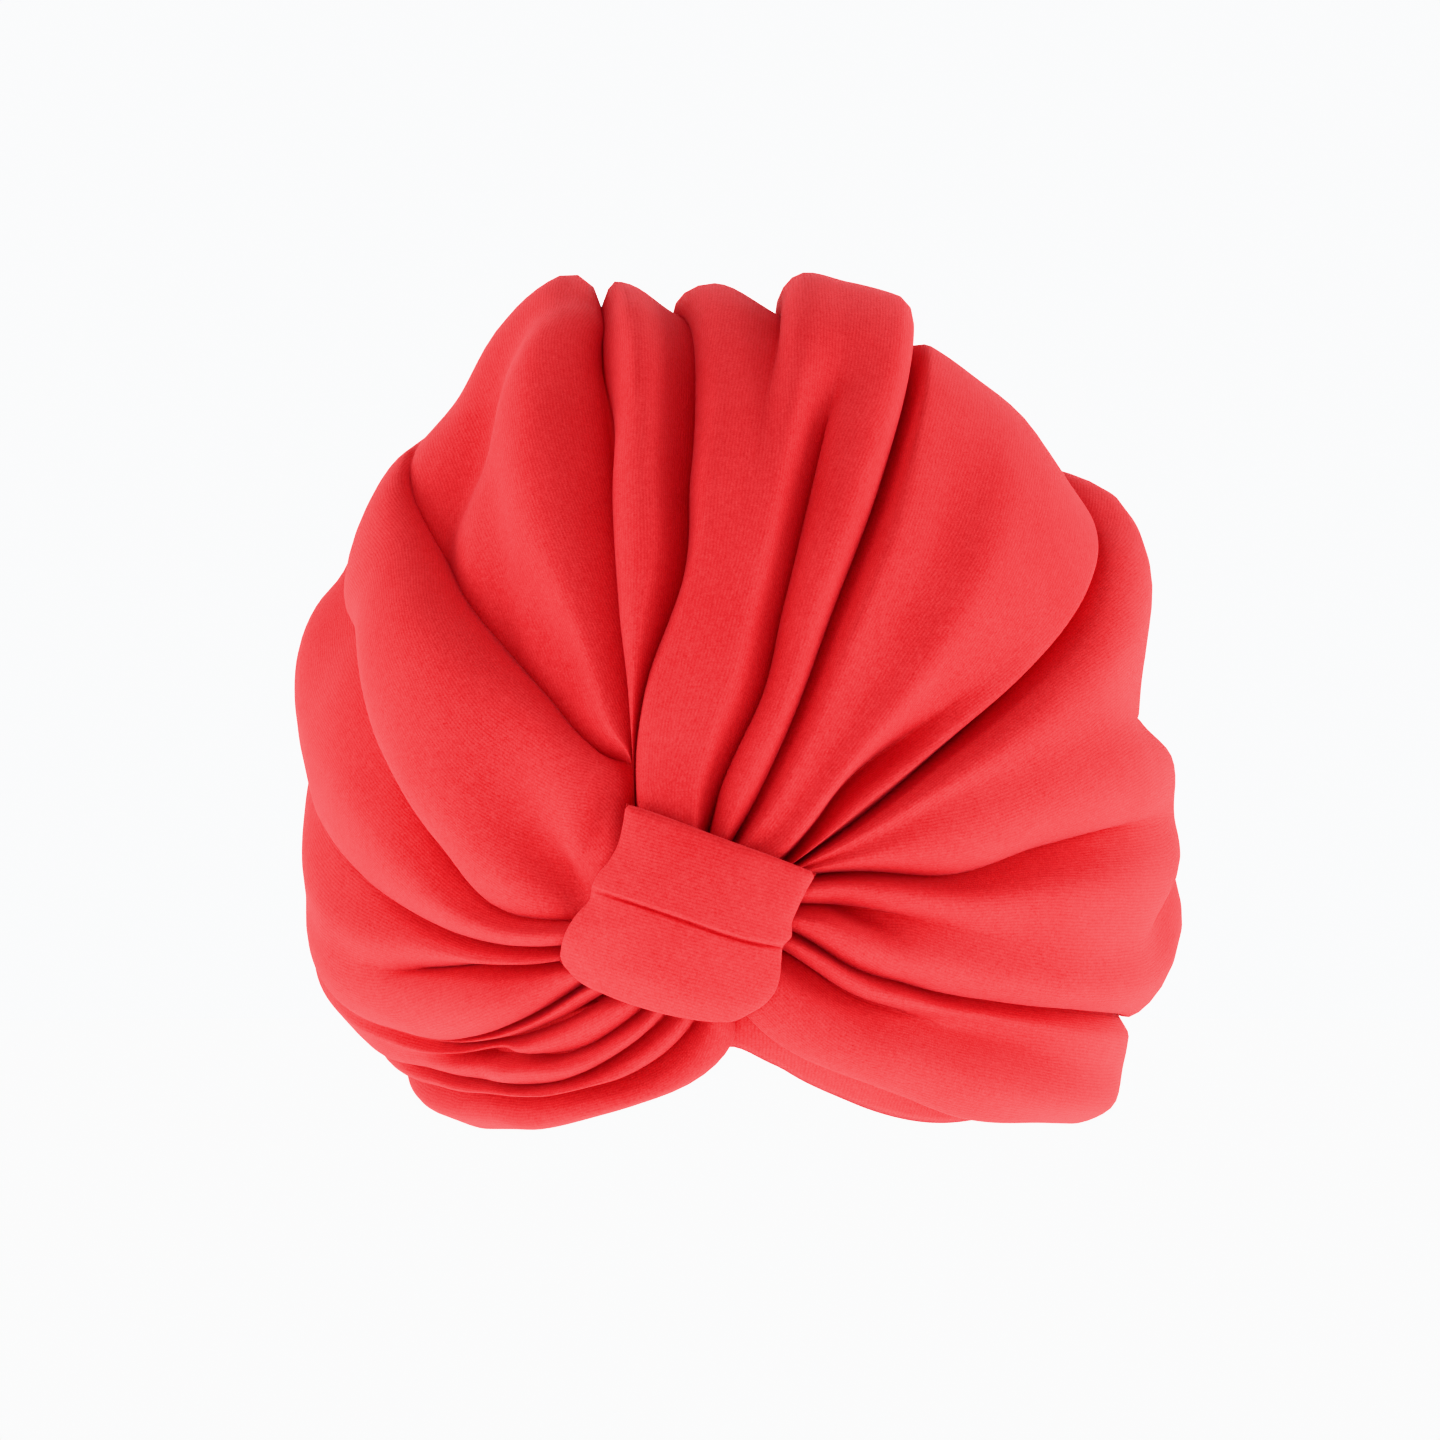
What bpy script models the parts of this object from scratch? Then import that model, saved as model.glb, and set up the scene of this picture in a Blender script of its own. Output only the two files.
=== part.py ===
"""A gathered jersey turban: one pleated cloth shell drawn together under a knot band on the brow, with an
inner band round the head opening. Metres, +Z up, front towards -Y, origin at the middle of the head opening."""

import bpy
import numpy as np

# The cloth shell
WIDTH = 0.2185  # across the widest folds, left to right
HEIGHT = 0.2125  # from the lowest edge to the top of the pleats
BROW_REACH = 0.114  # from the middle of the head opening forward to the cloth under the knot
NAPE_REACH = 0.112  # from the middle backward to the cloth at the nape
CLOTH = 0.0018  # double jersey
KNOT_ACROSS = -0.110  # centre of the gather, as a share of half the width
KNOT_UP = 0.264  # the same, as a share of the height
NAPE_UP = 0.110  # where the folds run out at the back, as a share of the height
NAPE_TUCK = 0.16  # how far the nape edge is drawn in towards the head, as a share of its reach
NAPE_TUCK_UP = 0.40  # up to this share of the height
FOLD_DEPTH = 0.0145  # height of the tallest fold over the bottom of its creases
LAP = 0.0055  # how far a fold's lip laps over its neighbour, where the lap is 1
LAP_LIMIT = 0.30  # and at most this share of the narrower of the two
FLANK = 0.55  # how square a fold's side stands at an open crease with no lap, from 0 to 1
STOUTEST = 0.62  # a fold stands at most this share of its own width
GATHER_LATITUDE = 3.0  # where the cloth ends under the knot band, in degrees from the knot
NAPE_LATITUDE = 177.0  # where it ends at the nape
KEPT = 0.85  # share of a wide fold's height that its inner face follows
NO_ROOM = 0.004  # folds this narrow are filled
FULL_ROOM = 0.012  # folds this wide are hollow
BACK_DEPTH = 0.55  # height of the folds halfway down the back, as a share of their height at the side
NAPE_DEPTH = 0.16  # and at the nape

# The knot band
BAND_WIDTH = 0.0455
BAND_HEIGHT = 0.0415
BAND_THICK = 0.0026
BAND_TILT = -17.0  # degrees, anticlockwise seen from the front
BAND_LEAN = 24.0  # how far its sides lean to the right, in degrees
BAND_UP = 0.0008  # its middle over the middle of the gather
BAND_OFF = 0.0041  # from the bottom of the creases out to its back
BAND_SWELL = 0.0016  # how much further its middle stands out
BAND_CURL = 0.0012  # how far its lowest edge rolls back
BAND_CURL_FROM = 0.6  # from this share of half its height down
BAND_STEP = 0.0011  # depth of the sewn step across its middle
BAND_STEP_RUN = 0.0012  # the height over which the step runs
BAND_CORNER = 0.10  # rounding of its corners, as a share of half the width
UNDER_BAND = 0.0018  # fold height left under the band
BAND_MARGIN = 0.009  # how far from the band's outline the folds reach their full height

# The inner band
INNER_BAND_HEIGHT = 0.024
INNER_BAND_THICK = 0.0014
INNER_BAND_GAP = 0.0020  # from the bottom of the cloth's creases, inside
INNER_BAND_SET_IN = 0.0020  # how far its lower edge is above the cloth's edge
INNER_BAND_SHOWS = 0.0055  # how far it hangs below the cloth's edge right of the knot
INNER_BAND_SHOWS_TO = 48.0  # it is back inside this many degrees round from the knot

# The form without its folds, seen from the front. Bearing is counted anticlockwise round the knot from the
# right; across is a share of half the width, up a share of the height. Rows with up under 0.01 only guide
# the cloth's lower edge.
OUTLINE_COLUMNS = ("bearing", "across", "up")
OUTLINE = (
    (-60, 0.27, -0.10),
    (-49, 0.47, -0.10),
    (-40, 0.67, -0.08),
    (-27, 0.77, 0.01),
    (-18, 0.83, 0.08),
    (-10, 0.86, 0.15),
    (-2, 0.91, 0.22),
    (6, 0.94, 0.30),
    (15, 0.92, 0.39),
    (25, 0.87, 0.48),
    (34, 0.84, 0.57),
    (42, 0.81, 0.67),
    (49, 0.73, 0.745),
    (58, 0.585, 0.83),
    (69, 0.38, 0.905),
    (82, 0.08, 0.94),
    (92, -0.16, 0.94),
    (98, -0.31, 0.945),
    (106, -0.47, 0.90),
    (113, -0.59, 0.83),
    (121, -0.73, 0.765),
    (132, -0.83, 0.66),
    (143, -0.93, 0.555),
    (157, -0.93, 0.43),
    (168, -0.925, 0.33),
    (176, -0.91, 0.27),
    (188, -0.89, 0.185),
    (199, -0.79, 0.125),
    (210, -0.715, 0.07),
    (218, -0.67, 0.02),
    (230, -0.60, -0.06),
    (245, -0.44, -0.12),
    (270, -0.11, -0.15),
    (290, 0.15, -0.12),
)

# Where each crease runs: its bearing at these latitudes, which count degrees from the knot (0) over the
# side of the head (90). Lap is positive where the next fold's lip lies over the crease, negative where the
# fold before does; open is 1 for a full crease and 0 for none. Both are given near the knot, between, and
# at the side.
CREASE_LATITUDES = (12, 20, 30, 45, 60, 75, 90)
FOLD_LATITUDES = (15, 45, 90)
CREASE_COLUMNS = ("name", "bearings", "lap", "open")
CREASES = (
    ("left_edge", (296, 292, 256, 233, 224, 218, 212), (0, 0, 0), (1, 1, 1)),
    ("under_cheek", (285, 264, 240, 224, 216, 211, 207), (0.4, 0.6, 0.6), (1, 1, 1)),
    ("low_left", (264, 248, 234, 220, 212, 205, 197), (0.6, 0.8, 0.6), (1, 0.9, 1)),
    ("knot_tuck", (245, 237, 227, 216, 208, 200, 191), (0.5, 0.5, 0.2), (1, 0.6, 0)),
    ("knot_tail", (226, 221, 217, 212, 205, 196, 185), (0.6, 0.6, 0.2), (1, 0.7, 0)),
    ("left_sweep", (211, 210, 210, 208, 201, 191, 177), (0.8, 1, 0.6), (1, 1, 0.7)),
    ("left_slant", (196, 192, 188, 179, 170, 163, 154), (0.8, 0.8, 0.4), (1, 0.9, 0.5)),
    ("left_lobe_foot", (178, 174, 169, 157, 147, 141, 132), (0.8, 1, 0.8), (1, 1, 0.7)),
    ("left_lobe_top", (122, 117, 122, 126, 126, 124, 120), (-0.8, -1, -0.5), (1, 1, 0.6)),
    ("crown_left", (118, 107, 103, 100, 98.5, 98, 98), (-0.5, -0.5, -0.9), (1, 1, 0.9)),
    ("crown_middle", (112, 101, 93.5, 91, 90, 90, 91.5), (0.3, 0.7, 0.8), (0.6, 1, 1)),
    ("crown_top", (98, 90, 85, 82, 81.5, 81.5, 82), (0, 0, 0.8), (0, 0.15, 1)),
    ("crown_hollow", (77, 73, 74, 74, 74.5, 75.5, 76), (0.6, 0.2, 0), (1, 0.8, 0.1)),
    ("crown_right", (60, 63, 64.5, 66, 67.5, 69, 70), (-0.6, -0.9, -0.9), (1, 1, 0.9)),
    ("right_soft", (46, 50, 53, 57, 61, 63, 63), (0, 0, 0), (0.4, 0.45, 0.1)),
    ("right_ridge", (31, 39, 40.5, 42, 45, 48, 54), (0, 0, 0), (1, 0.5, 0)),
    ("right_lobe_top", (26, 29.5, 33, 36, 38.5, 41, 48.5), (0.8, 1, -0.7), (1, 1, 1)),
    ("right_notch", (24.5, 24, 26, 27, 26.5, 25, 23.5), (0, 0, 0), (0.2, 0.15, 0.8)),
    ("right_lobe_foot", (22.5, 16.5, 10.5, 12, 12.5, 12, 11.5), (-0.7, -1, -0.4), (1, 0.9, 0.3)),
    ("right_dimple", (8, 4, 0.5, -2, -1, 2, 6.5), (-0.3, -0.2, -0.7), (0.8, 0.15, 0.7)),
    ("low_right", (-5.5, -14, -15.5, -13, -12, -11.5, -12), (-0.8, -1, -0.8), (1, 1, 1)),
    ("low_right_inner", (-17, -23, -22.5, -20, -18.5, -18, -17.5), (-0.7, -0.7, 0), (1, 0.6, 0.1)),
    ("right_edge", (-63, -57, -44.5, -36.5, -30.5, -28, -27), (0, 0, 0), (1, 1, 1)),
)

# The folds between those creases, from the left edge round to the right edge, at FOLD_LATITUDES: height as
# a share of FOLD_DEPTH, and where the crest stands between the two creases. Strips is how many the fold is
# divided into across.
FOLD_COLUMNS = ("name", "heights", "crests", "strips")
FOLDS = (
    ("left_hem", (0.20, 0.35, 0.45), (0.50, 0.50, 0.50), 4),
    ("low_left_thin", (0.18, 0.30, 0.50), (0.50, 0.50, 0.50), 4),
    ("low_left", (0.20, 0.30, 0.50), (0.50, 0.45, 0.40), 4),
    ("knot_tuck", (0.22, 0.35, 0.50), (0.50, 0.45, 0.45), 4),
    ("knot_tail", (0.25, 0.40, 0.45), (0.50, 0.50, 0.50), 4),
    ("left_sweep", (0.30, 0.75, 0.50), (0.45, 0.40, 0.40), 5),
    ("left_slant", (0.25, 0.60, 0.50), (0.45, 0.40, 0.40), 6),
    ("left_lobe", (0.30, 1.00, 0.55), (0.45, 0.45, 0.45), 7),
    ("crown_left", (0.20, 0.60, 1.00), (0.50, 0.55, 0.88), 7),
    ("crown_narrow", (0.25, 0.55, 0.95), (0.50, 0.45, 0.22), 4),
    ("crown_middle", (0.28, 0.65, 0.80), (0.45, 0.40, 0.35), 5),
    ("crown_wide", (0.28, 0.60, 1.05), (0.50, 0.50, 0.50), 4),
    ("crown_ridge", (0.25, 0.50, 0.75), (0.50, 0.60, 0.50), 4),
    ("right_crown", (0.22, 0.50, 0.25), (0.50, 0.40, 0.40), 4),
    ("right_ridge", (0.25, 0.60, 0.35), (0.50, 0.50, 0.50), 4),
    ("right_tuck", (0.18, 0.30, 0.20), (0.50, 0.50, 0.50), 4),
    ("right_top_lobe", (0.25, 0.85, 1.10), (0.50, 0.50, 0.30), 6),
    ("right_lobe", (0.25, 0.85, 0.60), (0.50, 0.50, 0.50), 5),
    ("right_foot", (0.22, 0.50, 0.45), (0.50, 0.50, 0.50), 4),
    ("low_right_lobe", (0.25, 0.65, 0.70), (0.50, 0.55, 0.60), 5),
    ("low_right_thin", (0.20, 0.28, 0.40), (0.50, 0.50, 0.50), 4),
    ("right_hem", (0.20, 0.55, 0.50), (0.50, 0.50, 0.50), 4),
)

# Bearings that the two edges reach at the nape; the creases between spread evenly.
NAPE_LEFT = 195.0
NAPE_RIGHT = -14.0

# Past the side a crease keeps its slant for about this many degrees.
CARRY_ON = 18.0

# How finely each piece is divided
ROWS = 23
INNER_BAND_COLUMNS = 80
INNER_BAND_ROWS = 4
KNOT_BAND_COLUMNS = 11
KNOT_BAND_ROWS = 11

RED = (0.66, 0.026, 0.040, 1.0)
INSIDE_RED = (0.62, 0.024, 0.036, 1.0)
BAND_RED = (0.64, 0.025, 0.040, 1.0)
NAP_ROUGHNESS = 0.85


def smooth(start, end, value):
    """0 below start, 1 above end, and an even S between them."""
    share = np.clip((value - start) / (end - start), 0.0, 1.0)
    return share * share * (3.0 - 2.0 * share)


def through(stations, values, at):
    """Cubic pieces through values at rising stations, level with the neighbours' slope at each."""
    stations = np.asarray(stations, float)
    values = np.asarray(values, float)
    slopes = np.gradient(values, stations, axis=0)
    at = np.clip(at, stations[0], stations[-1])
    piece = np.clip(np.searchsorted(stations, at, side="right") - 1, 0, len(stations) - 2)
    gap = stations[piece + 1] - stations[piece]
    t = (at - stations[piece]) / gap
    if values.ndim > 1:
        gap, t = gap[..., None], t[..., None]
    a, b = values[piece], values[piece + 1]
    blend = t * t * (3.0 - 2.0 * t)
    lead = t * (1.0 - t) ** 2 * gap * slopes[piece]
    trail = -t * t * (1.0 - t) * gap * slopes[piece + 1]
    return a * (1.0 - blend) + b * blend + lead + trail


def outline_at(bearing):
    """The unfolded form's outline in the front view at a bearing, in metres: across and up."""
    rows = np.array(OUTLINE + tuple((b + 360, x, z) for b, x, z in OUTLINE[:4]), float)
    start = rows[0, 0]
    return through(rows[:, 0], rows[:, 1:], (bearing - start) % 360 + start) * (WIDTH / 2, HEIGHT)


def form_at(bearing, latitude):
    """A point on the unfolded form: an egg whose front pole is the knot and whose back pole is the nape."""
    latitude = np.radians(latitude)
    reach = np.sin(latitude)
    back = np.where(latitude > np.pi / 2, 1.0 - reach, 0.0)
    knot = np.array((KNOT_ACROSS * WIDTH / 2, KNOT_UP * HEIGHT))
    nape = np.array((0.0, NAPE_UP * HEIGHT))
    flat = knot + back[..., None] * (nape - knot) + reach[..., None] * (outline_at(bearing) - knot)
    depth = -np.cos(latitude) * np.where(latitude > np.pi / 2, NAPE_REACH, BROW_REACH)
    tuck = NAPE_TUCK * (1.0 - smooth(0.0, NAPE_TUCK_UP * HEIGHT, flat[..., 1])) * (depth > 0)
    return np.stack((flat[..., 0], depth * (1.0 - tuck), flat[..., 1]), axis=-1)


def form_normal(bearing, latitude, step=0.2):
    """The outward direction of the unfolded form, square to its two small steps."""
    along = form_at(bearing, latitude + step) - form_at(bearing, latitude - step)
    round_it = form_at(bearing + step, latitude) - form_at(bearing - step, latitude)
    return unit(np.cross(along, round_it))


def unit(vectors):
    return vectors / np.maximum(np.linalg.norm(vectors, axis=-1, keepdims=True), 1e-12)


def crease_bearings(latitude):
    """The bearing of every crease at each latitude: as the table in front, spread evenly at the nape."""
    table = np.array([row[1] for row in CREASES], float)
    front = through(CREASE_LATITUDES, table.T, latitude)
    slope = (table[:, -1] - table[:, -2]) / (CREASE_LATITUDES[-1] - CREASE_LATITUDES[-2])
    past = np.maximum(latitude - CREASE_LATITUDES[-1], 0.0)[..., None]
    front = front + slope * past * np.exp(-past / CARRY_ON)
    side = table[:, -1]
    share = (side - side[0]) / (side[-1] - side[0])
    nape = NAPE_LEFT + share * (NAPE_RIGHT - NAPE_LEFT)
    turn = smooth(90.0, NAPE_LATITUDE, latitude)[..., None]
    return front * (1.0 - turn) + nape * turn


def fold_rise(share, sharp):
    """Height of one flank from crease (0) to crest (1): a quarter round where sharp, a soft S where not."""
    round_flank = np.sqrt(np.maximum(1.0 - (1.0 - share) ** 2, 0.0))
    soft_flank = 0.5 - 0.5 * np.cos(np.pi * share)
    return sharp * round_flank + (1.0 - sharp) * soft_flank


def band_frame():
    """The knot band's middle in the front view, and its directions across and up there."""
    tilt, lean = np.radians(BAND_TILT), np.radians(BAND_LEAN)
    across = np.array((np.cos(tilt), np.sin(tilt)))
    up = np.array((np.sin(lean), np.cos(lean)))
    middle = np.array((KNOT_ACROSS * WIDTH / 2, KNOT_UP * HEIGHT)) + up * BAND_UP
    return middle, across, up


def band_cover(points):
    """1 well inside the knot band's outline, 0 from BAND_MARGIN outside it."""
    middle, across, up = band_frame()
    flat = points[..., (0, 2)] - middle
    shares = np.abs(flat @ np.linalg.inv(np.array((across, up))))
    outside = np.maximum(shares[..., 0] - BAND_WIDTH / 2, shares[..., 1] - BAND_HEIGHT / 2)
    return (1.0 - smooth(-0.2 * BAND_MARGIN, BAND_MARGIN, outside)) * (points[..., 1] < 0)


def front_depth(x, z):
    """How far forward the unfolded form is at a point of the front view."""
    flat_x, flat_z = x - KNOT_ACROSS * WIDTH / 2, z - KNOT_UP * HEIGHT
    outline = outline_at(np.degrees(np.arctan2(flat_z, flat_x)))
    outline = outline - (KNOT_ACROSS * WIDTH / 2, KNOT_UP * HEIGHT)
    reach = np.hypot(flat_x, flat_z) / np.linalg.norm(outline, axis=-1)
    return BROW_REACH * np.sqrt(np.maximum(1.0 - reach**2, 0.0))


def form_holds(points):
    """True for points inside the unfolded form."""
    x, y, z = points[..., 0], points[..., 1], points[..., 2]
    tuck = NAPE_TUCK * (1.0 - smooth(0.0, NAPE_TUCK_UP * HEIGHT, z))
    along = np.where(y > 0, y / (1.0 - tuck) / NAPE_REACH, -y / BROW_REACH)
    reach = np.sqrt(np.maximum(1.0 - along**2, 0.0))
    back = np.where(y > 0, 1.0 - reach, 0.0)
    knot = np.array((KNOT_ACROSS * WIDTH / 2, KNOT_UP * HEIGHT))
    nape = np.array((0.0, NAPE_UP * HEIGHT))
    flat = np.stack((x, z), axis=-1) - (knot + back[..., None] * (nape - knot))
    outline = outline_at(np.degrees(np.arctan2(flat[..., 1], flat[..., 0]))) - knot
    return np.linalg.norm(flat, axis=-1) < reach * np.linalg.norm(outline, axis=-1)


def form_reach(turn, height):
    """Distance from the upright axis to the unfolded form, by halving. Turn counts from the front."""
    way = np.stack((np.sin(turn), -np.cos(turn), turn * 0.0), axis=-1)
    low, high = turn * 0.0, turn * 0.0 + 0.2
    for _ in range(24):
        middle = (low + high) / 2
        points = way * middle[..., None]
        points[..., 2] = height
        inside = form_holds(points)
        low = np.where(inside, middle, low)
        high = np.where(inside, high, middle)
    return way, low


def strip_shares(count):
    """Where a fold is divided across, from 0 up to but not including 1, closer together at its creases."""
    even = np.arange(count) / count
    return 0.5 * even + 0.25 - 0.25 * np.cos(np.pi * even)


def cloth_faces(finer, rows):
    """The cloth's outer and inner faces as grids of points: rows from knot to nape, columns edge to edge."""
    fold_count = len(FOLDS)
    strips = [strip_shares(row[3] * finer) for row in FOLDS]
    column = np.concatenate([number + shares for number, shares in enumerate(strips)] + [[fold_count]])
    row = np.linspace(0.0, 1.0, rows)
    latitude = GATHER_LATITUDE + (NAPE_LATITUDE - GATHER_LATITUDE) * row
    fold = np.minimum(column.astype(int), fold_count - 1)
    share = column - fold

    creases = crease_bearings(latitude)
    first, last = creases[:, fold], creases[:, fold + 1]
    bearing = first + (last - first) * share
    latitude = np.broadcast_to(latitude[:, None], bearing.shape)
    base = form_at(bearing, latitude)

    heights = np.array([row[1] for row in FOLDS], float).T
    laps = np.array([row[2] for row in CREASES], float).T
    opens = np.array([row[3] for row in CREASES], float).T
    at = latitude[:, 0]
    fade_stations = (90.0, 135.0, NAPE_LATITUDE)
    fade = through(fade_stations, (1.0, BACK_DEPTH, NAPE_DEPTH), at)
    fade = np.where(at < 90.0, 1.0, fade)[:, None]
    crest = through(FOLD_LATITUDES, heights, at) * FOLD_DEPTH * fade
    lap = through(FOLD_LATITUDES, laps, at) * fade
    opened = np.clip(through(FOLD_LATITUDES, opens, at), 0.0, 1.0)
    ring = np.linalg.norm(np.diff(form_at(creases, at[:, None] + creases * 0), axis=1), axis=-1)
    shut = 1.0 - opened
    before = np.concatenate((ring[:, :1], ring[:, :-1]), axis=1)
    after = np.concatenate((ring[:, 1:], ring[:, -1:]), axis=1)
    limit = STOUTEST * (ring + shut[:, :-1] * before + shut[:, 1:] * after)
    crest = limit * np.tanh(crest / np.maximum(limit, 1e-6))
    ends = np.concatenate((crest[:, :1], crest, crest[:, -1:]), axis=1)
    floor = (1.0 - opened) * np.minimum(ends[:, :-1], ends[:, 1:])
    floor[:, 0] = floor[:, -1] = 0.0

    top = through(FOLD_LATITUDES, np.array([row[2] for row in FOLDS]).T, at)[:, fold]
    rising = share < top
    flank = np.where(rising, share / top, (1.0 - share) / (1.0 - top))
    near_floor = np.where(rising, floor[:, fold], floor[:, fold + 1])
    near_open = np.where(rising, opened[:, fold], opened[:, fold + 1])
    near_lap = np.where(rising, lap[:, fold], lap[:, fold + 1])
    over = np.where(rising, near_lap, -near_lap)
    sharp = np.clip(near_open * (FLANK + (1.0 - FLANK) * over), 0.0, 1.0)
    height = near_floor + (crest[:, fold] - near_floor) * fold_rise(flank, sharp)

    neighbour = np.where(rising, np.maximum(fold - 1, 0), np.minimum(fold + 1, fold_count - 1))
    narrow = np.minimum(ring[:, fold], np.take_along_axis(ring, neighbour, axis=1))
    slide = near_lap * np.minimum(LAP, LAP_LIMIT * narrow) * (1.0 - flank) ** 3
    cover = band_cover(base)
    height = height * (1.0 - cover) + np.minimum(height, UNDER_BAND) * cover
    slide = slide * (1.0 - cover)

    side = unit(form_at(bearing - 0.05, latitude) - form_at(bearing + 0.05, latitude))
    normal = form_normal(bearing, latitude)
    outer = base + normal * height[..., None] + side * slide[..., None]

    room = np.minimum(np.concatenate((ring[:, :1], ring), axis=1), np.concatenate((ring, ring[:, -1:]), axis=1))
    kept = KEPT * smooth(NO_ROOM, FULL_ROOM, room)
    kept = kept[:, fold] + (kept[:, fold + 1] - kept[:, fold]) * share
    height = (height * kept)[..., None]
    slide = (slide * kept)[..., None]
    leaning = grid_normal(base + KEPT * (normal * height + side * slide))
    inner = base + normal * height + side * slide - leaning * CLOTH
    return outer, inner


def grid_normal(points):
    """The outward direction at each point of a grid of rows and columns."""
    along = np.gradient(points, axis=0)
    across = np.gradient(points, axis=1)
    return unit(np.cross(across, along))


def wall_between(outer, inner):
    """Vertices and quads of the closed wall between two grids of the same size."""
    rows, columns = outer.shape[:2]
    index = np.arange(rows * columns).reshape(rows, columns)
    a, b, c, d = index[:-1, :-1], index[:-1, 1:], index[1:, 1:], index[1:, :-1]
    faces = [np.stack((a, b, c, d), -1).reshape(-1, 4)]
    a, b, c, d = (x + rows * columns for x in (a, b, c, d))
    faces.append(np.stack((a, d, c, b), -1).reshape(-1, 4))
    edge = np.concatenate((index[0, :], index[1:, -1], index[-1, -2::-1], index[-2:0:-1, 0]))
    following = np.roll(edge, -1)
    faces.append(np.stack((following, edge, edge + rows * columns, following + rows * columns), -1))
    vertices = np.concatenate((outer.reshape(-1, 3), inner.reshape(-1, 3)))
    return vertices, np.concatenate(faces)


def material(name, colour):
    made = bpy.data.materials.new(name)
    made.use_nodes = True
    shader = made.node_tree.nodes["Principled BSDF"]
    shader.inputs["Base Color"].default_value = colour
    shader.inputs["Roughness"].default_value = NAP_ROUGHNESS
    return made


def add_object(name, vertices, faces, finish):
    mesh = bpy.data.meshes.new(name)
    mesh.from_pydata(vertices.tolist(), [], faces.tolist())
    mesh.update()
    mesh.shade_smooth()
    mesh.materials.append(finish)
    bpy.context.scene.collection.objects.link(bpy.data.objects.new(name, mesh))


def edge_heights(turn):
    """Height of the cloth's lower edge at each turn round the upright axis, from the two edges' creases."""
    latitude = np.linspace(20.0, NAPE_LATITUDE, 80)
    creases = crease_bearings(latitude)
    left = form_at(creases[:, 0], latitude)
    right = form_at(creases[:, -1], latitude)
    ring = np.concatenate((left[::-1], right))
    turns = np.degrees(np.arctan2(ring[:, 0], -ring[:, 1]))
    return np.interp(turn, turns, ring[:, 2], period=360.0)


def inner_band_grids(columns, rows):
    """Outer and inner faces of the inner band: rows upward, columns round the head from the nape."""
    turn = np.linspace(-180.0, 180.0, columns + 1)[:-1]
    edge = edge_heights(turn)
    edge = (edge + np.roll(edge, 1) + np.roll(edge, -1)) / 3
    shows = smooth(-4.0, 4.0, turn) * (1.0 - smooth(0.35 * INNER_BAND_SHOWS_TO, INNER_BAND_SHOWS_TO, turn))
    low = edge + INNER_BAND_SET_IN - shows * (INNER_BAND_SHOWS + INNER_BAND_SET_IN)
    height = low + np.linspace(0.0, 1.0, rows)[:, None] * INNER_BAND_HEIGHT
    turn = np.radians(np.broadcast_to(turn, height.shape))
    way, reach = form_reach(turn, height)
    faces = []
    for inward in (CLOTH + INNER_BAND_GAP, CLOTH + INNER_BAND_GAP + INNER_BAND_THICK):
        face = way * (reach - inward)[..., None]
        face[..., 2] = height
        faces.append(face)
    return faces


def ring_wall(outer, inner):
    """Vertices and quads of a closed ring between two grids whose columns run all the way round."""
    rows, columns = outer.shape[:2]
    index = np.arange(rows * columns).reshape(rows, columns)
    following = np.roll(index, -1, axis=1)
    under = rows * columns
    sheet = np.stack((index[:-1], following[:-1], following[1:], index[1:]), -1).reshape(-1, 4)
    foot = np.stack((following[0], index[0], index[0] + under, following[0] + under), -1)
    top = np.stack((index[-1], following[-1], following[-1] + under, index[-1] + under), -1)
    faces = np.concatenate((sheet, sheet[:, ::-1] + under, foot, top))
    return np.concatenate((outer.reshape(-1, 3), inner.reshape(-1, 3))), faces


def knot_band_grids(columns, rows):
    """Front and back faces of the knot band: rows upward with a close pair at the sewn step."""
    middle, across, up = band_frame()
    half = (rows - 1) // 2
    run = BAND_STEP_RUN / BAND_HEIGHT
    lower = np.linspace(-1.0, -run, half + 1)
    upper = np.linspace(run, 1.0, half + 1)
    v = np.concatenate((lower, upper))[:, None]
    u = np.linspace(-1.0, 1.0, columns)[None, :]
    u, v = np.broadcast_arrays(u, v)
    round_off = BAND_CORNER * np.abs(u * v) ** 6
    flat_u = u * (1.0 - round_off) * BAND_WIDTH / 2
    flat_v = v * (1.0 - round_off) * BAND_HEIGHT / 2
    x = middle[0] + flat_u * across[0] + flat_v * up[0]
    z = middle[1] + flat_u * across[1] + flat_v * up[1]
    swell = BAND_SWELL * (1.0 - u**2) * (1.0 - v**4)
    curl = BAND_CURL * smooth(BAND_CURL_FROM, 1.0, -v)
    back = front_depth(x, z) + BAND_OFF + swell - curl
    front = back + BAND_THICK + np.where(v > 0, BAND_STEP / 2, -BAND_STEP / 2)
    return np.stack((x, -front, z), -1), np.stack((x, -back, z), -1)


def main():
    for old in list(bpy.data.objects):
        bpy.data.objects.remove(old)
    crown = wall_between(*cloth_faces(1, ROWS))
    inner_band = ring_wall(*inner_band_grids(INNER_BAND_COLUMNS, INNER_BAND_ROWS))
    knot_band = wall_between(*knot_band_grids(KNOT_BAND_COLUMNS, KNOT_BAND_ROWS))
    add_object("crown", *crown, material("red_jersey", RED))
    add_object("inner_band", *inner_band, material("red_jersey_inside", INSIDE_RED))
    add_object("knot_band", *knot_band, material("red_jersey_band", BAND_RED))


main()
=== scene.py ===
"""Looks of the gathered jersey turban: the pleated cloth, the knot band and the inner band as fine surfaces
in brushed double jersey, on a pale floor in soft light. Metres, +Z up, front towards -Y."""

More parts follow.
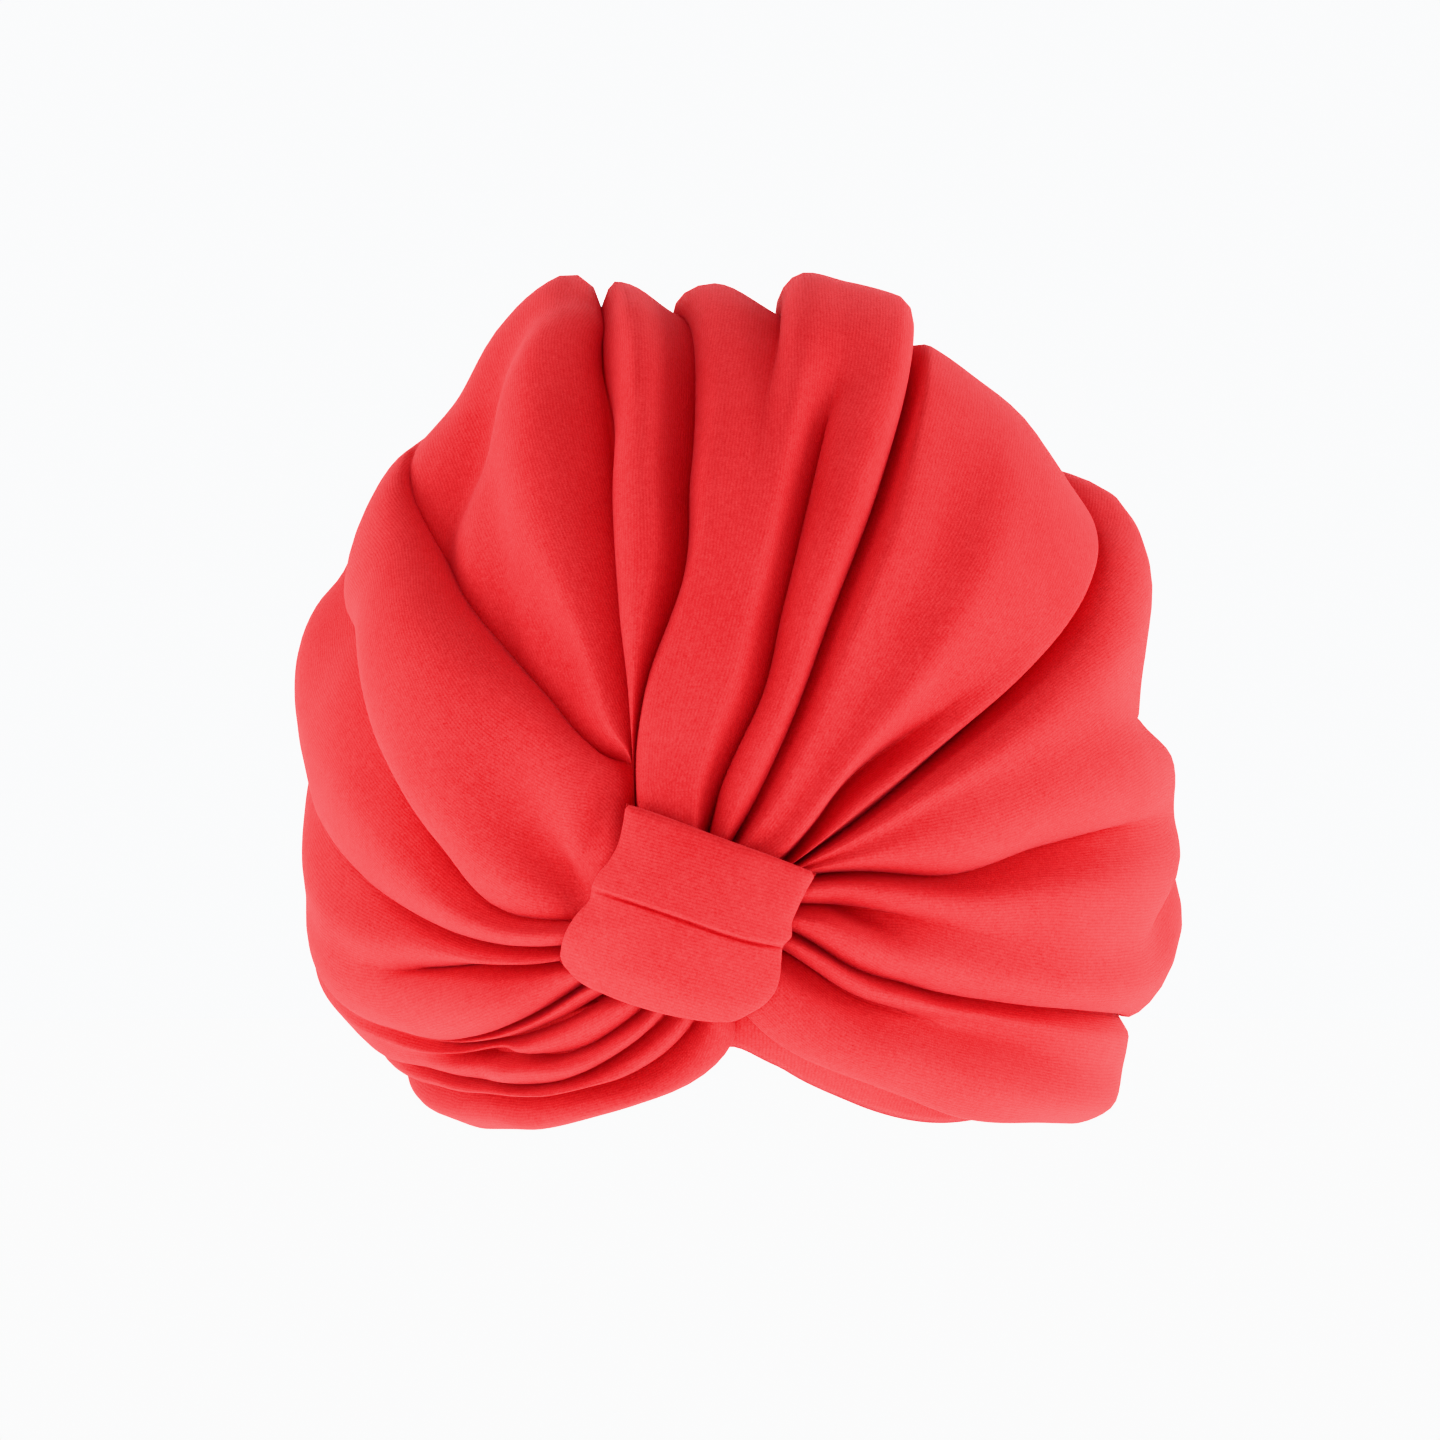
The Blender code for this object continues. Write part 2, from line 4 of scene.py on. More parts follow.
import bpy
import numpy as np
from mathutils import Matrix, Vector


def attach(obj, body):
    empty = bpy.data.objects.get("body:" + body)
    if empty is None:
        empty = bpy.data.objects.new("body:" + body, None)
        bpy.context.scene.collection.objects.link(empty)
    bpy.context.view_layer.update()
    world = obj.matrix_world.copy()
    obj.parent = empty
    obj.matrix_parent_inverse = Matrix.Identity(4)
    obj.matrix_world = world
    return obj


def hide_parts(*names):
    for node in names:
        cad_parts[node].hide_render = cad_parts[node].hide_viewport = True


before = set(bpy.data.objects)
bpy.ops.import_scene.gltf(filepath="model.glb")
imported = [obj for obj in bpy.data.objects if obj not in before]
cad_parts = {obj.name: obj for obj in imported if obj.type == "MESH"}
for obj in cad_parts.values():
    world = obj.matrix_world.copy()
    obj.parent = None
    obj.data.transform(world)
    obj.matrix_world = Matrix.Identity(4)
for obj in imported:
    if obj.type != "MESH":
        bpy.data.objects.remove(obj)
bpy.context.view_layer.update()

# The form that the cloth lies on
WIDTH = 0.2185  # across the widest folds, left to right
HEIGHT = 0.2125  # from the lowest edge to the top of the pleats
BROW_REACH = 0.114  # from the middle of the opening forward to the cloth under the knot
NAPE_REACH = 0.112  # from the middle backward to the cloth at the nape
KNOT_ACROSS = -0.110  # centre of the gather, as a share of half the width
KNOT_UP = 0.264  # the same, as a share of the height
NAPE_UP = 0.110  # where the folds run out at the back, as a share of the height
NAPE_TUCK = 0.16  # how far the nape edge is drawn in, as a share of its reach
NAPE_TUCK_UP = 0.40  # up to this share of the height
KNOT = np.array((KNOT_ACROSS * WIDTH / 2, KNOT_UP * HEIGHT))  # both poles in the front view
NAPE = np.array((0.0, NAPE_UP * HEIGHT))

# Latitudes count in degrees from the knot
GATHER_LATITUDE = 3.0  # where the cloth ends under the knot band
SIDE_LATITUDE = 90.0  # the widest ring round the form
BACK_LATITUDE = 135.0  # halfway down the back
NAPE_LATITUDE = 177.0  # where the cloth ends at the nape

# The cloth's folds
CLOTH = 0.0018  # thickness of the double jersey
FOLD_DEPTH = 0.0150  # height of a fold of 1 in the table of folds
STOUTEST = 0.62  # a fold stands at most this share of its own width
BACK_DEPTH = 0.55  # height of the folds halfway down the back, as a share of their height at the side
NAPE_DEPTH = 0.16  # and at the nape
CREASE_SINK = 0.0085  # how far the creases sink under the form where the cloth is gathered
SINK_FADES = (45.0, 96.0)  # between these latitudes the sinking ends
CARRY_ON = 18.0  # past the side a crease keeps its slant for about this many degrees
NAPE_LEFT = 195.0  # bearings that the two edges reach at the nape; the creases between spread evenly
NAPE_RIGHT = -14.0

# The sides of the folds
FLANK = 0.66  # how square a side stands at an open crease with no lap, from 0 to 1
FLANK_OVER = 0.3  # how much is added to that where it laps over the crease
FLANK_UNDER = 0.35  # share of it that is lost where the next fold laps over it
LIP_SHARE = 0.24  # share of a side, from crease to crest, that lies hidden under its lip
LIP_BROW = 0.38  # how high up a lip reaches out furthest, as a share of the fold's height
LIP_SHARE_OF_HEIGHT = 0.44  # reach of a full lap's lip, as a share of the fold's height
LIP_SHARE_OF_WIDTH = 0.45  # and at most this share of the side's width
LIP_SHARE_OF_CLIMB = 0.46  # and at most this share of the fold's rise over its crease
LIP_MOST = 0.0065  # and at most this
LIP_PRESSED = 0.6  # share of it that the knot band presses away
ROLLED = (0.05, 0.45)  # between these laps a plain side turns into one with a rolled lip

# The cloth's inner face
KEPT = 0.85  # share of a wide fold's height that it follows
SLIDE_KEPT = 0.5  # least share of the lap that it follows
NO_ROOM = 0.004  # folds this narrow are filled
FULL_ROOM = 0.012  # folds this wide are hollow

# The knot band
BAND_WIDTH = 0.0455
BAND_HEIGHT = 0.0415
BAND_THICK = 0.0026
BAND_TILT = -17.0  # degrees, anticlockwise seen from the front
BAND_LEAN = 24.0  # how far its sides lean to the right, in degrees
BAND_UP = 0.0008  # its middle over the middle of the gather
BAND_OFF = 0.0050  # from the bottom of the creases out to its back
BAND_SWELL = 0.0016  # how much further its middle stands out
BAND_SWELLS = (0.011, 0.00035)  # size and height of its unevenness
BAND_CURL = 0.0018  # how far its lowest edge rolls back
BAND_CURL_FROM = 0.6  # from this share of half its height down
BAND_SIDE_CURL = 0.0006  # how far its left and right sides roll back
BAND_SIDE_CURL_FROM = 0.75  # from this share of half its width
BAND_EDGE = 0.0019  # over this width its edges round off
BAND_STEP = 0.0013  # how far the upper half, folded over, stands out from the lower
BAND_STEP_RISE = (-0.00025, 0.00055)  # between these heights over the seam
BAND_STEP_BACK = 0.35  # share of the step by which the lower half stands back
BAND_GROOVE = 0.0009  # depth of the groove along the seam
BAND_GROOVE_DOWN = 0.0001  # how far its middle lies under the seam
BAND_GROOVE_WIDTH = 0.00045  # its half width
BAND_LEFT = (-0.98, -0.55)  # near the left side, between these shares of half the width, both fade
BAND_LEFT_SHARE = 0.45  # to this share
UNDER_BAND = 0.0034  # fold height left under the band
BAND_MARGIN = 0.011  # how far from the band's outline the folds reach their full height
BAND_INSIDE = 0.1  # share of that margin by which they are low inside the outline

# The inner band
INNER_BAND_HEIGHT = 0.024
INNER_BAND_THICK = 0.0014
INNER_BAND_GAP = 0.0020  # from the bottom of the cloth's creases, inside
INNER_BAND_SET_IN = 0.0020  # how far its lower edge is above the cloth's edge
INNER_BAND_SHOWS = 0.0055  # how far it hangs below the cloth's edge right of the knot
INNER_BAND_OUT = (-4.0, 4.0)  # it comes out between these degrees round from the front
INNER_BAND_BACK = (16.8, 48.0)  # and is back inside between these
INNER_BAND_ROUND = 3.2  # how fast its section grows from a round edge to its full thickness
INNER_BAND_EVENED = 4  # its edge is evened out over this many columns on either side
INNER_BAND_RADIUS = 0.09  # its usual distance from the upright axis, for its cloth map

# The form without its folds, seen from the front: bearing, anticlockwise round the knot from the right, then
# how far across, as a share of half the width, and how far up, as a share of the height.
OUTLINE = (
    (-60, 0.27, -0.1),
    (-49, 0.47, -0.1),
    (-40, 0.67, -0.08),
    (-27, 0.77, 0.01),
    (-18, 0.83, 0.08),
    (-10, 0.86, 0.15),
    (-2, 0.91, 0.22),
    (6, 0.94, 0.3),
    (15, 0.92, 0.39),
    (25, 0.87, 0.48),
    (34, 0.84, 0.57),
    (42, 0.81, 0.67),
    (49, 0.73, 0.745),
    (58, 0.585, 0.83),
    (69, 0.38, 0.905),
    (82, 0.08, 0.94),
    (92, -0.16, 0.94),
    (98, -0.31, 0.945),
    (106, -0.47, 0.9),
    (113, -0.59, 0.83),
    (121, -0.73, 0.765),
    (132, -0.83, 0.66),
    (143, -0.93, 0.555),
    (157, -0.93, 0.43),
    (168, -0.925, 0.33),
    (176, -0.91, 0.27),
    (188, -0.89, 0.185),
    (199, -0.79, 0.125),
    (210, -0.715, 0.07),
    (218, -0.67, 0.02),
    (230, -0.6, -0.06),
    (245, -0.44, -0.12),
    (270, -0.11, -0.15),
    (290, 0.15, -0.12),
)

# The creases: name, bearings at CREASE_LATITUDES, laps and openings at FOLD_LATITUDES. A lap is positive
# where the next fold's lip lies over the crease and negative where the fold before does. An opening is 1 for
# a full crease and 0 for none.
CREASE_LATITUDES = (12, 16, 20, 30, 45, 60, 75, 90)
FOLD_LATITUDES = (15, 40, 65, 90)
CREASES = (
    ("left_edge", (296, 295.5, 292, 256, 233, 224, 218, 212), (0, 0, 0, 0), (1, 1, 1, 1)),
    ("under_cheek", (285, 274.5, 264, 240, 224, 216, 211, 207), (0.4, 0.5, 0.5, 0.5), (1, 0.5, 0.45, 0.7)),
    ("low_left", (264, 255.5, 248, 235, 222, 213, 206, 198), (0.6, 0.7, 0.8, 0.6), (1, 0.8, 0.85, 0.9)),
    ("knot_tuck", (245, 242, 237, 227, 214.5, 207, 197, 189), (0.5, 0.5, 0, 0), (1, 0.9, 0, 0)),
    ("knot_tail", (228, 223, 220, 216.5, 211.5, 204.8, 192.5, 181.5), (0.6, 0.6, 0, 0), (1, 0.9, 0, 0)),
    ("left_sweep", (211, 211, 211, 211.5, 209, 203, 190, 176), (0.8, 1, 1, 0.6), (1, 1, 1, 0.7)),
    ("sweep_tuck", (206, 203, 200.5, 196, 191, 185, 177, 166), (-0.7, -0.6, 0, 0), (1, 0.8, 0, 0)),
    ("left_slant", (196, 194, 192, 187, 179, 170.5, 163, 153), (0.8, 0.9, 0.7, 0.4), (1, 1, 0.8, 0.5)),
    ("left_lobe_foot", (178, 178, 177.5, 174, 153, 140, 136, 121), (0.8, 1, 1, 0.8), (1, 1, 1, 1)),
    ("left_lobe_top", (118, 110.5, 117, 122, 125, 124, 121, 117), (-0.2, -1, -1, 0), (0.6, 1, 0.7, 0)),
    ("crown_left", (117.3, 110, 107, 103, 100, 98.5, 98, 98), (0.2, 0.4, -0.2, -0.8), (0.3, 1, 1, 1)),
    ("crown_middle", (116.6, 109.5, 102.5, 92.5, 90, 89.5, 90, 91.5), (0.7, 0.7, 0.8, 0.8), (0.6, 1, 1, 1)),
    ("crown_top", (98, 94, 90, 85, 82, 81.5, 81.5, 82), (0, 0, 0.3, 0.8), (0, 0.05, 0.4, 1)),
    ("crown_hollow", (77, 74.5, 72.5, 73.5, 74.5, 75, 75.5, 76), (0.9, 0.8, 0, 0), (1, 0.85, 0, 0)),
    ("crown_right", (60, 61, 62, 64.5, 66, 67.5, 69, 70), (-0.6, -0.85, -0.6, -0.6), (1, 1, 0.75, 0.65)),
    ("right_soft", (46, 48, 50, 53, 57, 61, 63, 63), (0, 0, 0, 0), (0.2, 0.12, 0.05, 0)),
    ("right_ridge", (30.5, 35, 39, 40.5, 41, 44, 47, 52), (0, 0, 0, 0), (1, 0.15, 0, 0)),
    ("right_lobe_top", (26, 28, 29.5, 33, 36, 39, 43.2, 50), (0.8, 1, 0.7, -0.2), (1, 1, 1, 1)),
    ("right_notch", (24.5, 24, 24, 26, 27, 26.5, 25, 23.5), (0, 0, 0, 0), (0.2, 0.05, 0.15, 0.7)),
    ("right_lobe_low", (22.5, 19.5, 16.5, 10.5, 12, 12.5, 12, 11.5), (-0.7, -1, -0.4, 0), (1, 0.95, 0.42, 0)),
    ("right_dimple", (8, 6, 4, 0.5, -2, -1.5, 0.5, 8), (-0.3, -0.2, -0.1, 0), (0.8, 0.1, 0.1, 0.9)),
    ("low_right", (-5.5, -10, -14, -15, -13.5, -12, -11.5, -12), (-0.8, -1, -1, -0.8), (1, 1, 1, 1)),
    ("low_right_inner", (-17, -20.5, -23, -22.5, -20.5, -19, -18, -17.5), (-0.7, 0, 0, 0), (1, 0.25, 0, 0)),
    ("right_edge", (-63, -60, -57, -44.5, -36.5, -30.5, -28, -27), (0, 0, 0, 0), (1, 1, 1, 1)),
)

# The folds between those creases, from the left edge round to the right: name, heights at FOLD_LATITUDES as
# shares of FOLD_DEPTH, where the crest stands between the two creases there, and the number of strips across.
MIDDLE = (0.5, 0.5, 0.5, 0.5)
FOLDS = (
    ("left_hem", (0.24, 0.45, 0.5, 0.45), MIDDLE, 12),
    ("low_left_thin", (0.2, 0.4, 0.46, 0.5), MIDDLE, 12),
    ("low_left", (0.22, 0.62, 0.66, 0.55), (0.5, 0.6, 0.6, 0.65), 15),
    ("knot_tuck", (0.22, 0.34, 0.6, 0.55), MIDDLE, 12),
    ("knot_tail", (0.25, 0.34, 0.5, 0.45), (0.5, 0.5, 0.35, 0.35), 12),
    ("left_sweep", (0.28, 0.64, 0.74, 0.5), (0.5, 0.55, 0.7, 0.7), 14),
    ("sweep_top", (0.22, 0.46, 0.66, 0.5), (0.5, 0.5, 0.3, 0.3), 12),
    ("left_slant", (0.25, 0.56, 0.6, 0.62), (0.45, 0.4, 0.4, 0.5), 18),
    ("left_lobe", (0.3, 1.05, 0.8, 0.38), (0.6, 0.66, 0.5, 0.5), 21),
    ("crown_left", (0.08, 0.55, 0.82, 1.0), (0.5, 0.58, 0.72, 0.88), 22),
    ("crown_narrow", (0.1, 0.55, 0.78, 0.92), (0.5, 0.42, 0.28, 0.14), 14),
    ("crown_middle", (0.25, 0.58, 0.74, 0.8), (0.45, 0.42, 0.38, 0.35), 15),
    ("crown_wide", (0.28, 0.56, 0.92, 1.12), (0.5, 0.46, 0.44, 0.42), 15),
    ("crown_ridge", (0.3, 0.66, 0.92, 0.98), (0.5, 0.6, 0.66, 0.66), 14),
    ("right_crown", (0.22, 0.5, 0.5, 0.24), (0.5, 0.34, 0.28, 0.36), 13),
    ("right_ridge", (0.25, 0.52, 0.5, 0.3), (0.5, 0.5, 0.5, 0.4), 12),
    ("right_tuck", (0.18, 0.42, 0.43, 0.06), (0.5, 0.5, 0.6, 0.6), 12),
    ("right_top_lobe", (0.25, 0.8, 0.86, 0.78), (0.5, 0.5, 0.36, 0.2), 18),
    ("right_lobe", (0.25, 0.8, 0.74, 0.6), MIDDLE, 15),
    ("right_foot", (0.22, 0.48, 0.54, 0.52), MIDDLE, 12),
    ("low_right_lobe", (0.25, 0.6, 0.72, 0.78), (0.5, 0.55, 0.5, 0.4), 15),
    ("low_right_thin", (0.2, 0.24, 0.22, 0.38), MIDDLE, 12),
    ("right_hem", (0.2, 0.5, 0.54, 0.45), MIDDLE, 12),
)

# Soft hollows besides the creases: name, bearing and latitude of the middle, degrees of bearing it moves on
# per degree of latitude, half width in bearing, half length in latitude, and depth in millimetres, below 0
# for a ridge.
HOLLOWS = (
    ("panel_hollow", 113.8, 68, -0.8, 6.0, 11, 7.5),
    ("panel_foot", 117, 48, -0.35, 2.8, 9, 3.5),
    ("panel_rim", 119.5, 77, -0.58, 3.0, 10, -0.6),
    ("panel_fold", 115, 33, 0.13, 3.2, 9, 4.0),
    ("ear", 137, 14, -2.5, 10, 1.7, 6.0),
    ("right_pocket", 40, 25, 0.0, 2.2, 7, 3.0),
    ("foot_pocket", 3, 20, -1.3, 4.0, 6, 5.0),
    ("low_pocket", -18.4, 46, 0.12, 3.8, 12, 6.5),
    ("lobe_valley", 147, 21, -0.65, 7.0, 9, 9.0),
    ("sweep_shade", 186.5, 44, -0.5, 2.6, 14, 2.5),
    ("knot_pocket", 214.5, 46, -0.2, 2.4, 5, 5.0),
    ("left_notch", 133, 96, -0.3, 2.4, 12, 3.0),
    ("crown_dip", 86.5, 62, -0.05, 2.6, 17, 1.0),
    ("right_rim", 51, 46, 0.25, 2.2, 17, -1.5),
    ("right_shade", 57, 42, 0.05, 3.0, 15, 1.0),
    ("lobe_dip", 140, 58, -0.35, 5.0, 12, -1.2),
)

# The knot band's sides in millimetres from its middle: how far down, from 0 to 1, then the left side and the
# right.
BAND_SIDES = (
    (0.0, -24.0, 22.9),
    (0.13, -22.6, 22.3),
    (0.25, -21.8, 22.2),
    (0.35, -22.2, 22.3),
    (0.44, -23.2, 23.5),
    (0.5, -23.4, 22.7),
    (0.6, -22.6, 23.6),
    (0.7, -24.0, 24.8),
    (0.8, -24.6, 25.2),
    (0.9, -24.3, 24.3),
    (1.0, -23.2, 22.0),
)

# And its ends: how far along, from 0 to 1, then the upper edge, the lower edge and the seam.
BAND_ENDS = (
    (0.0, 19.8, -20.0, -1.2),
    (0.14, 19.7, -23.2, -1.4),
    (0.28, 19.4, -24.1, -1.5),
    (0.5, 18.7, -24.5, -1.8),
    (0.72, 18.2, -23.8, -2.2),
    (0.87, 17.7, -22.5, -2.0),
    (0.95, 17.4, -21.0, -1.6),
    (1.0, 17.1, -18.8, -1.4),
)

# How finely each piece is divided; evenness is 1 for even steps, less where they crowd at the ends
CLOTH_ROWS = 145
STRIP_EVENNESS = 0.45
INNER_BAND_COLUMNS = 360
INNER_BAND_ROWS = 14
BAND_COLUMNS = 110
BAND_COLUMN_EVENNESS = 0.45
BAND_ROWS = 130
BAND_ROW_EVENNESS = 0.5
SEAM_ROW = 0.02  # where the band's rows crowd together for the seam, from -1 below to 1 above
SEAM_CROWDING = 0.55  # how strongly
SEAM_CROWD_WIDTH = 0.16  # and within what distance
EDGE_LATITUDE = 20.0  # from here to the nape the cloth's lower edge is followed
EDGE_POINTS = 80  # at this many points on each side

# Unevenness of the cloth: the size of its swells and how far they stand out
SWELLS = ((0.060, 0.0016), (0.028, 0.0008), (0.012, 0.00022))
SWELLS_START = (8.0, 30.0)  # they grow between these latitudes
SWELLS_END = (150.0, NAPE_LATITUDE)  # and die here
EDGE_FOLDS = 1.5  # they also die within this many folds of either edge
GATHER_RIBS = 0.0009  # height of the small puckers that run out from the knot
RIB_SIZE = (7.0, 45.0)  # their size in degrees of bearing and of latitude
RIBS_END = (30.0, 80.0)  # between these latitudes they die
SWELL_SEED, RIB_SEED, BAND_SEED = 11, 29, 5
LATTICE = 32  # the noise repeats after this many swells
LATTICE_START = 100.0  # the lattice's corner that lies at the origin

# Small steps and limits of the working-out
NORMAL_STEP = 0.2  # degrees each way, for the form's outward direction
SIDE_STEP = 0.05  # degrees each way, for its sideways direction
NO_LENGTH = 1e-12  # a vector is never taken as shorter
NO_WIDTH = 1e-6  # a fold's limit is never taken as narrower
HALVINGS = 24
FURTHEST = 0.2  # further from the upright axis than any of the form
TURNED = (0, 3, 2, 1)  # the corners of a face, the other way round

# The studio
FLOOR = -0.45  # its height: the turban is shown as it is worn, clear of it
FLOOR_RADIUS = 9.0
FLOOR_CORNERS = 96
FLOOR_GLOW = 1.5  # the floor is lit through from below, as a light table
SURROUND = (0.985, 0.992, 1.0, 1.0)  # colour of the pale surround
FRONT_LIGHT = 0.77  # its strength in front
BACK_LIGHT = 2.5  # and at the sides and behind
FRONT_TO_BACK = (-0.8, 0.3)  # how far back it points where it turns from one to the other
TOP_SHARE = 0.42  # overhead it is this share of that
SIDE_TO_TOP = (0.15, 0.8)  # how far up it points where that begins and is reached
LIGHTS_AIM = 0.09  # height that the softboxes face
CAMERA_DISTANCE = 1.4
CAMERA_ACROSS = -0.005
CAMERA_UP = 0.101
CAMERA_SEES = 0.36  # width of the picture at the upright axis
SENSOR = 36.0  # millimetres

# The softboxes: where each stands, how wide it is and its power in watts
SOFTBOXES = (
    ("top_left_box", -0.55, -0.8, 1.05, 0.5, 4.5),
    ("left_box", -1.1, -0.1, 0.1, 0.6, 2.7),
    ("right_box", 1.1, -0.15, 0.25, 0.6, 5.4),
)

# The jersey
WALE = 0.00078  # from one column of stitches to the next
COURSE = 0.00062  # from one row of stitches to the next
STITCH_SLANT = 1.3  # how far a stitch slants, in rows
WALE_WOBBLE = 0.9  # how far the columns wander, in columns
COURSE_WOBBLE = 0.7  # and the rows
ROW_SHOWS = 0.28  # how much of a stitch's height changes along its column
STITCH_RELIEF = 0.00010
NAP_RELIEF = 0.00022
TUFT_SHARE = 0.8  # relief of the nap's tufts, as a share of that
BUMP_STRENGTH = 0.55
WOBBLE = (260.0, 2.0, 0.5)  # each noise's scale, detail and roughness
FUZZ = (1900.0, 3.0, 0.65)
TUFTS = (620.0, 3.0, 0.6)
DRIFT = (38.0, 3.0, 0.55)
# The stitches' tone is painted shade: the colour deepens where their relief dips between the columns.
STITCH_SHADE_TONE, FUZZ_TONE, TUFT_TONE, DRIFT_TONE = 0.3, 1.2, 0.45, 0.4  # how much each changes the colour
MIDDLE_TONE = 0.55  # from 0, all deep red, to 1, all red
DEEP_RED = (0.50, 0.020, 0.022)
RED = (0.71, 0.066, 0.071)
PINK_NAP = (1.0, 0.42, 0.47)


def smooth(start, end, value):
    """0 below start, 1 above end, and between them an even S, which is three squares less two cubes."""
    share = np.clip((value - start) / (end - start), 0.0, 1.0)
    return share * share * (3.0 - 2.0 * share)


def through(stations, values, at):
    """Cubic pieces through values at rising stations: an even S from value to value, plus the slopes at both
    ends, each of which is its neighbours' and dies towards the other end."""
    stations = np.asarray(stations, float)
    values = np.asarray(values, float)
    slopes = np.gradient(values, stations, axis=0)
    at = np.clip(at, stations[0], stations[-1])
    piece = np.clip(np.searchsorted(stations, at, side="right") - 1, 0, len(stations) - 2)
    gap = stations[piece + 1] - stations[piece]
    t = (at - stations[piece]) / gap
    if values.ndim > 1:
        gap, t = gap[..., None], t[..., None]
    a, b = values[piece], values[piece + 1]
    blend = t * t * (3.0 - 2.0 * t)
    lead = t * (1.0 - t) ** 2 * gap * slopes[piece]
    trail = -t * t * (1.0 - t) * gap * slopes[piece + 1]
    return a * (1.0 - blend) + b * blend + lead + trail


def column_of(table, number):
    """One column of a table that has a list in each row, with the stations as its rows."""
    return np.array([row[number] for row in table], float).T


def unit(vectors):
    """Each vector over its own length."""
    return vectors / np.maximum(np.linalg.norm(vectors, axis=-1, keepdims=True), NO_LENGTH)


def soft_noise(points, size, seed):
    """Swells of about this size, from -1 to 1: random heights at the corners of a lattice of cubes, and an
    even S from corner to corner."""
    heights = np.random.default_rng(seed).uniform(-1.0, 1.0, (LATTICE, LATTICE, LATTICE))
    place = points / size + LATTICE_START
    corner = np.floor(place).astype(int)
    part = place - corner
    part = part * part * (3.0 - 2.0 * part)
    total = 0.0
    for step in np.ndindex(2, 2, 2):
        share = 1.0
        for axis in range(3):
            share = share * (part[..., axis] if step[axis] else 1.0 - part[..., axis])
        here = (corner + step) % LATTICE
        total = total + share * heights[here[..., 0], here[..., 1], here[..., 2]]
    return total


def outline_at(bearing):
    """The unfolded form's outline in the front view at a bearing, in metres: across and up."""
    again = tuple((b + 360, x, z) for b, x, z in OUTLINE[:4])
    rows = np.array(OUTLINE + again, float)
    start = rows[0, 0]
    place = (bearing - start) % 360 + start
    return through(rows[:, 0], rows[:, 1:], place) * (WIDTH / 2, HEIGHT)


def outline_distance(way):
    """From the knot to the outline, in the direction of a vector in the front view."""
    bearing = np.degrees(np.arctan2(way[..., 1], way[..., 0]))
    return np.linalg.norm(outline_at(bearing) - KNOT, axis=-1)


def nape_tuck(up):
    """Share of the reach by which the back is drawn in: most at the lowest edge, less upward in an even S."""
    return NAPE_TUCK * (1.0 - smooth(0.0, NAPE_TUCK_UP * HEIGHT, up))


def form_at(bearing, latitude):
    """A point on the unfolded form, an egg with the knot and the nape for poles. Across and up it is the knot
    plus the sine of the latitude times the way to the outline, and its depth is the cosine times the reach.
    Behind the side, the middle moves from the knot to the nape as the sine falls."""
    latitude = np.radians(latitude)
    reach = np.sin(latitude)
    behind = latitude > np.pi / 2
    back = np.where(behind, 1.0 - reach, 0.0)
    flat = KNOT + back[..., None] * (NAPE - KNOT) + reach[..., None] * (outline_at(bearing) - KNOT)
    depth = -np.cos(latitude) * np.where(behind, NAPE_REACH, BROW_REACH)
    tuck = nape_tuck(flat[..., 1]) * (depth > 0)
    return np.stack((flat[..., 0], depth * (1.0 - tuck), flat[..., 1]), -1)


def form_normal(bearing, latitude):
    """The outward direction of the unfolded form, square to its two small steps."""
    along = form_at(bearing, latitude + NORMAL_STEP) - form_at(bearing, latitude - NORMAL_STEP)
    round_it = form_at(bearing + NORMAL_STEP, latitude) - form_at(bearing - NORMAL_STEP, latitude)
    return unit(np.cross(along, round_it))


def form_sideways(bearing, latitude):
    """The direction along the unfolded form towards smaller bearings."""
    return unit(form_at(bearing - SIDE_STEP, latitude) - form_at(bearing + SIDE_STEP, latitude))


def front_depth(x, z):
    """How far forward the unfolded form is at a point of the front view: the quarter of an ellipse, from the
    knot, where it is BROW_REACH, out to the outline, where it is 0."""
    way = np.stack((x, z), -1) - KNOT
    reach = np.linalg.norm(way, axis=-1) / outline_distance(way)
    return BROW_REACH * np.sqrt(np.maximum(1.0 - reach**2, 0.0))


def form_holds(points):
    """True for points inside the unfolded form: nearer to its middle than the outline times the reach."""
    x, y, z = points[..., 0], points[..., 1], points[..., 2]
    along = np.where(y > 0, y / (1.0 - nape_tuck(z)) / NAPE_REACH, -y / BROW_REACH)
    reach = np.sqrt(np.maximum(1.0 - along**2, 0.0))
    back = np.where(y > 0, 1.0 - reach, 0.0)
    way = np.stack((x, z), -1) - (KNOT + back[..., None] * (NAPE - KNOT))
    return np.linalg.norm(way, axis=-1) < reach * outline_distance(way)


def form_reach(turn, height):
    """The way out from the upright axis at a turn from the front, and how far out the unfolded form is, by
    halving the stretch between a point inside and one outside."""
    way = np.stack((np.sin(turn), -np.cos(turn), turn * 0.0), -1)
    low, high = turn * 0.0, turn * 0.0 + FURTHEST
    for _ in range(HALVINGS):
        middle = (low + high) / 2
        points = way * middle[..., None]
        points[..., 2] = height
        inside = form_holds(points)
        low = np.where(inside, middle, low)
        high = np.where(inside, high, middle)
    return way, low


def crease_bearings(latitude):
    """The bearing of every crease at each latitude: through the table in front, then on along its slant for a
    while, and in an even S over to bearings that spread evenly at the nape."""
    table = column_of(CREASES, 1)
    front = through(CREASE_LATITUDES, table, latitude)
    slope = (table[-1] - table[-2]) / (CREASE_LATITUDES[-1] - CREASE_LATITUDES[-2])
    past = np.maximum(latitude - CREASE_LATITUDES[-1], 0.0)[..., None]
    front = front + slope * past * np.exp(-past / CARRY_ON)
    side = table[-1]
    share = (side - side[0]) / (side[-1] - side[0])
    nape = NAPE_LEFT + share * (NAPE_RIGHT - NAPE_LEFT)
    turn = smooth(SIDE_LATITUDE, NAPE_LATITUDE, latitude)[..., None]
    return front * (1.0 - turn) + nape * turn


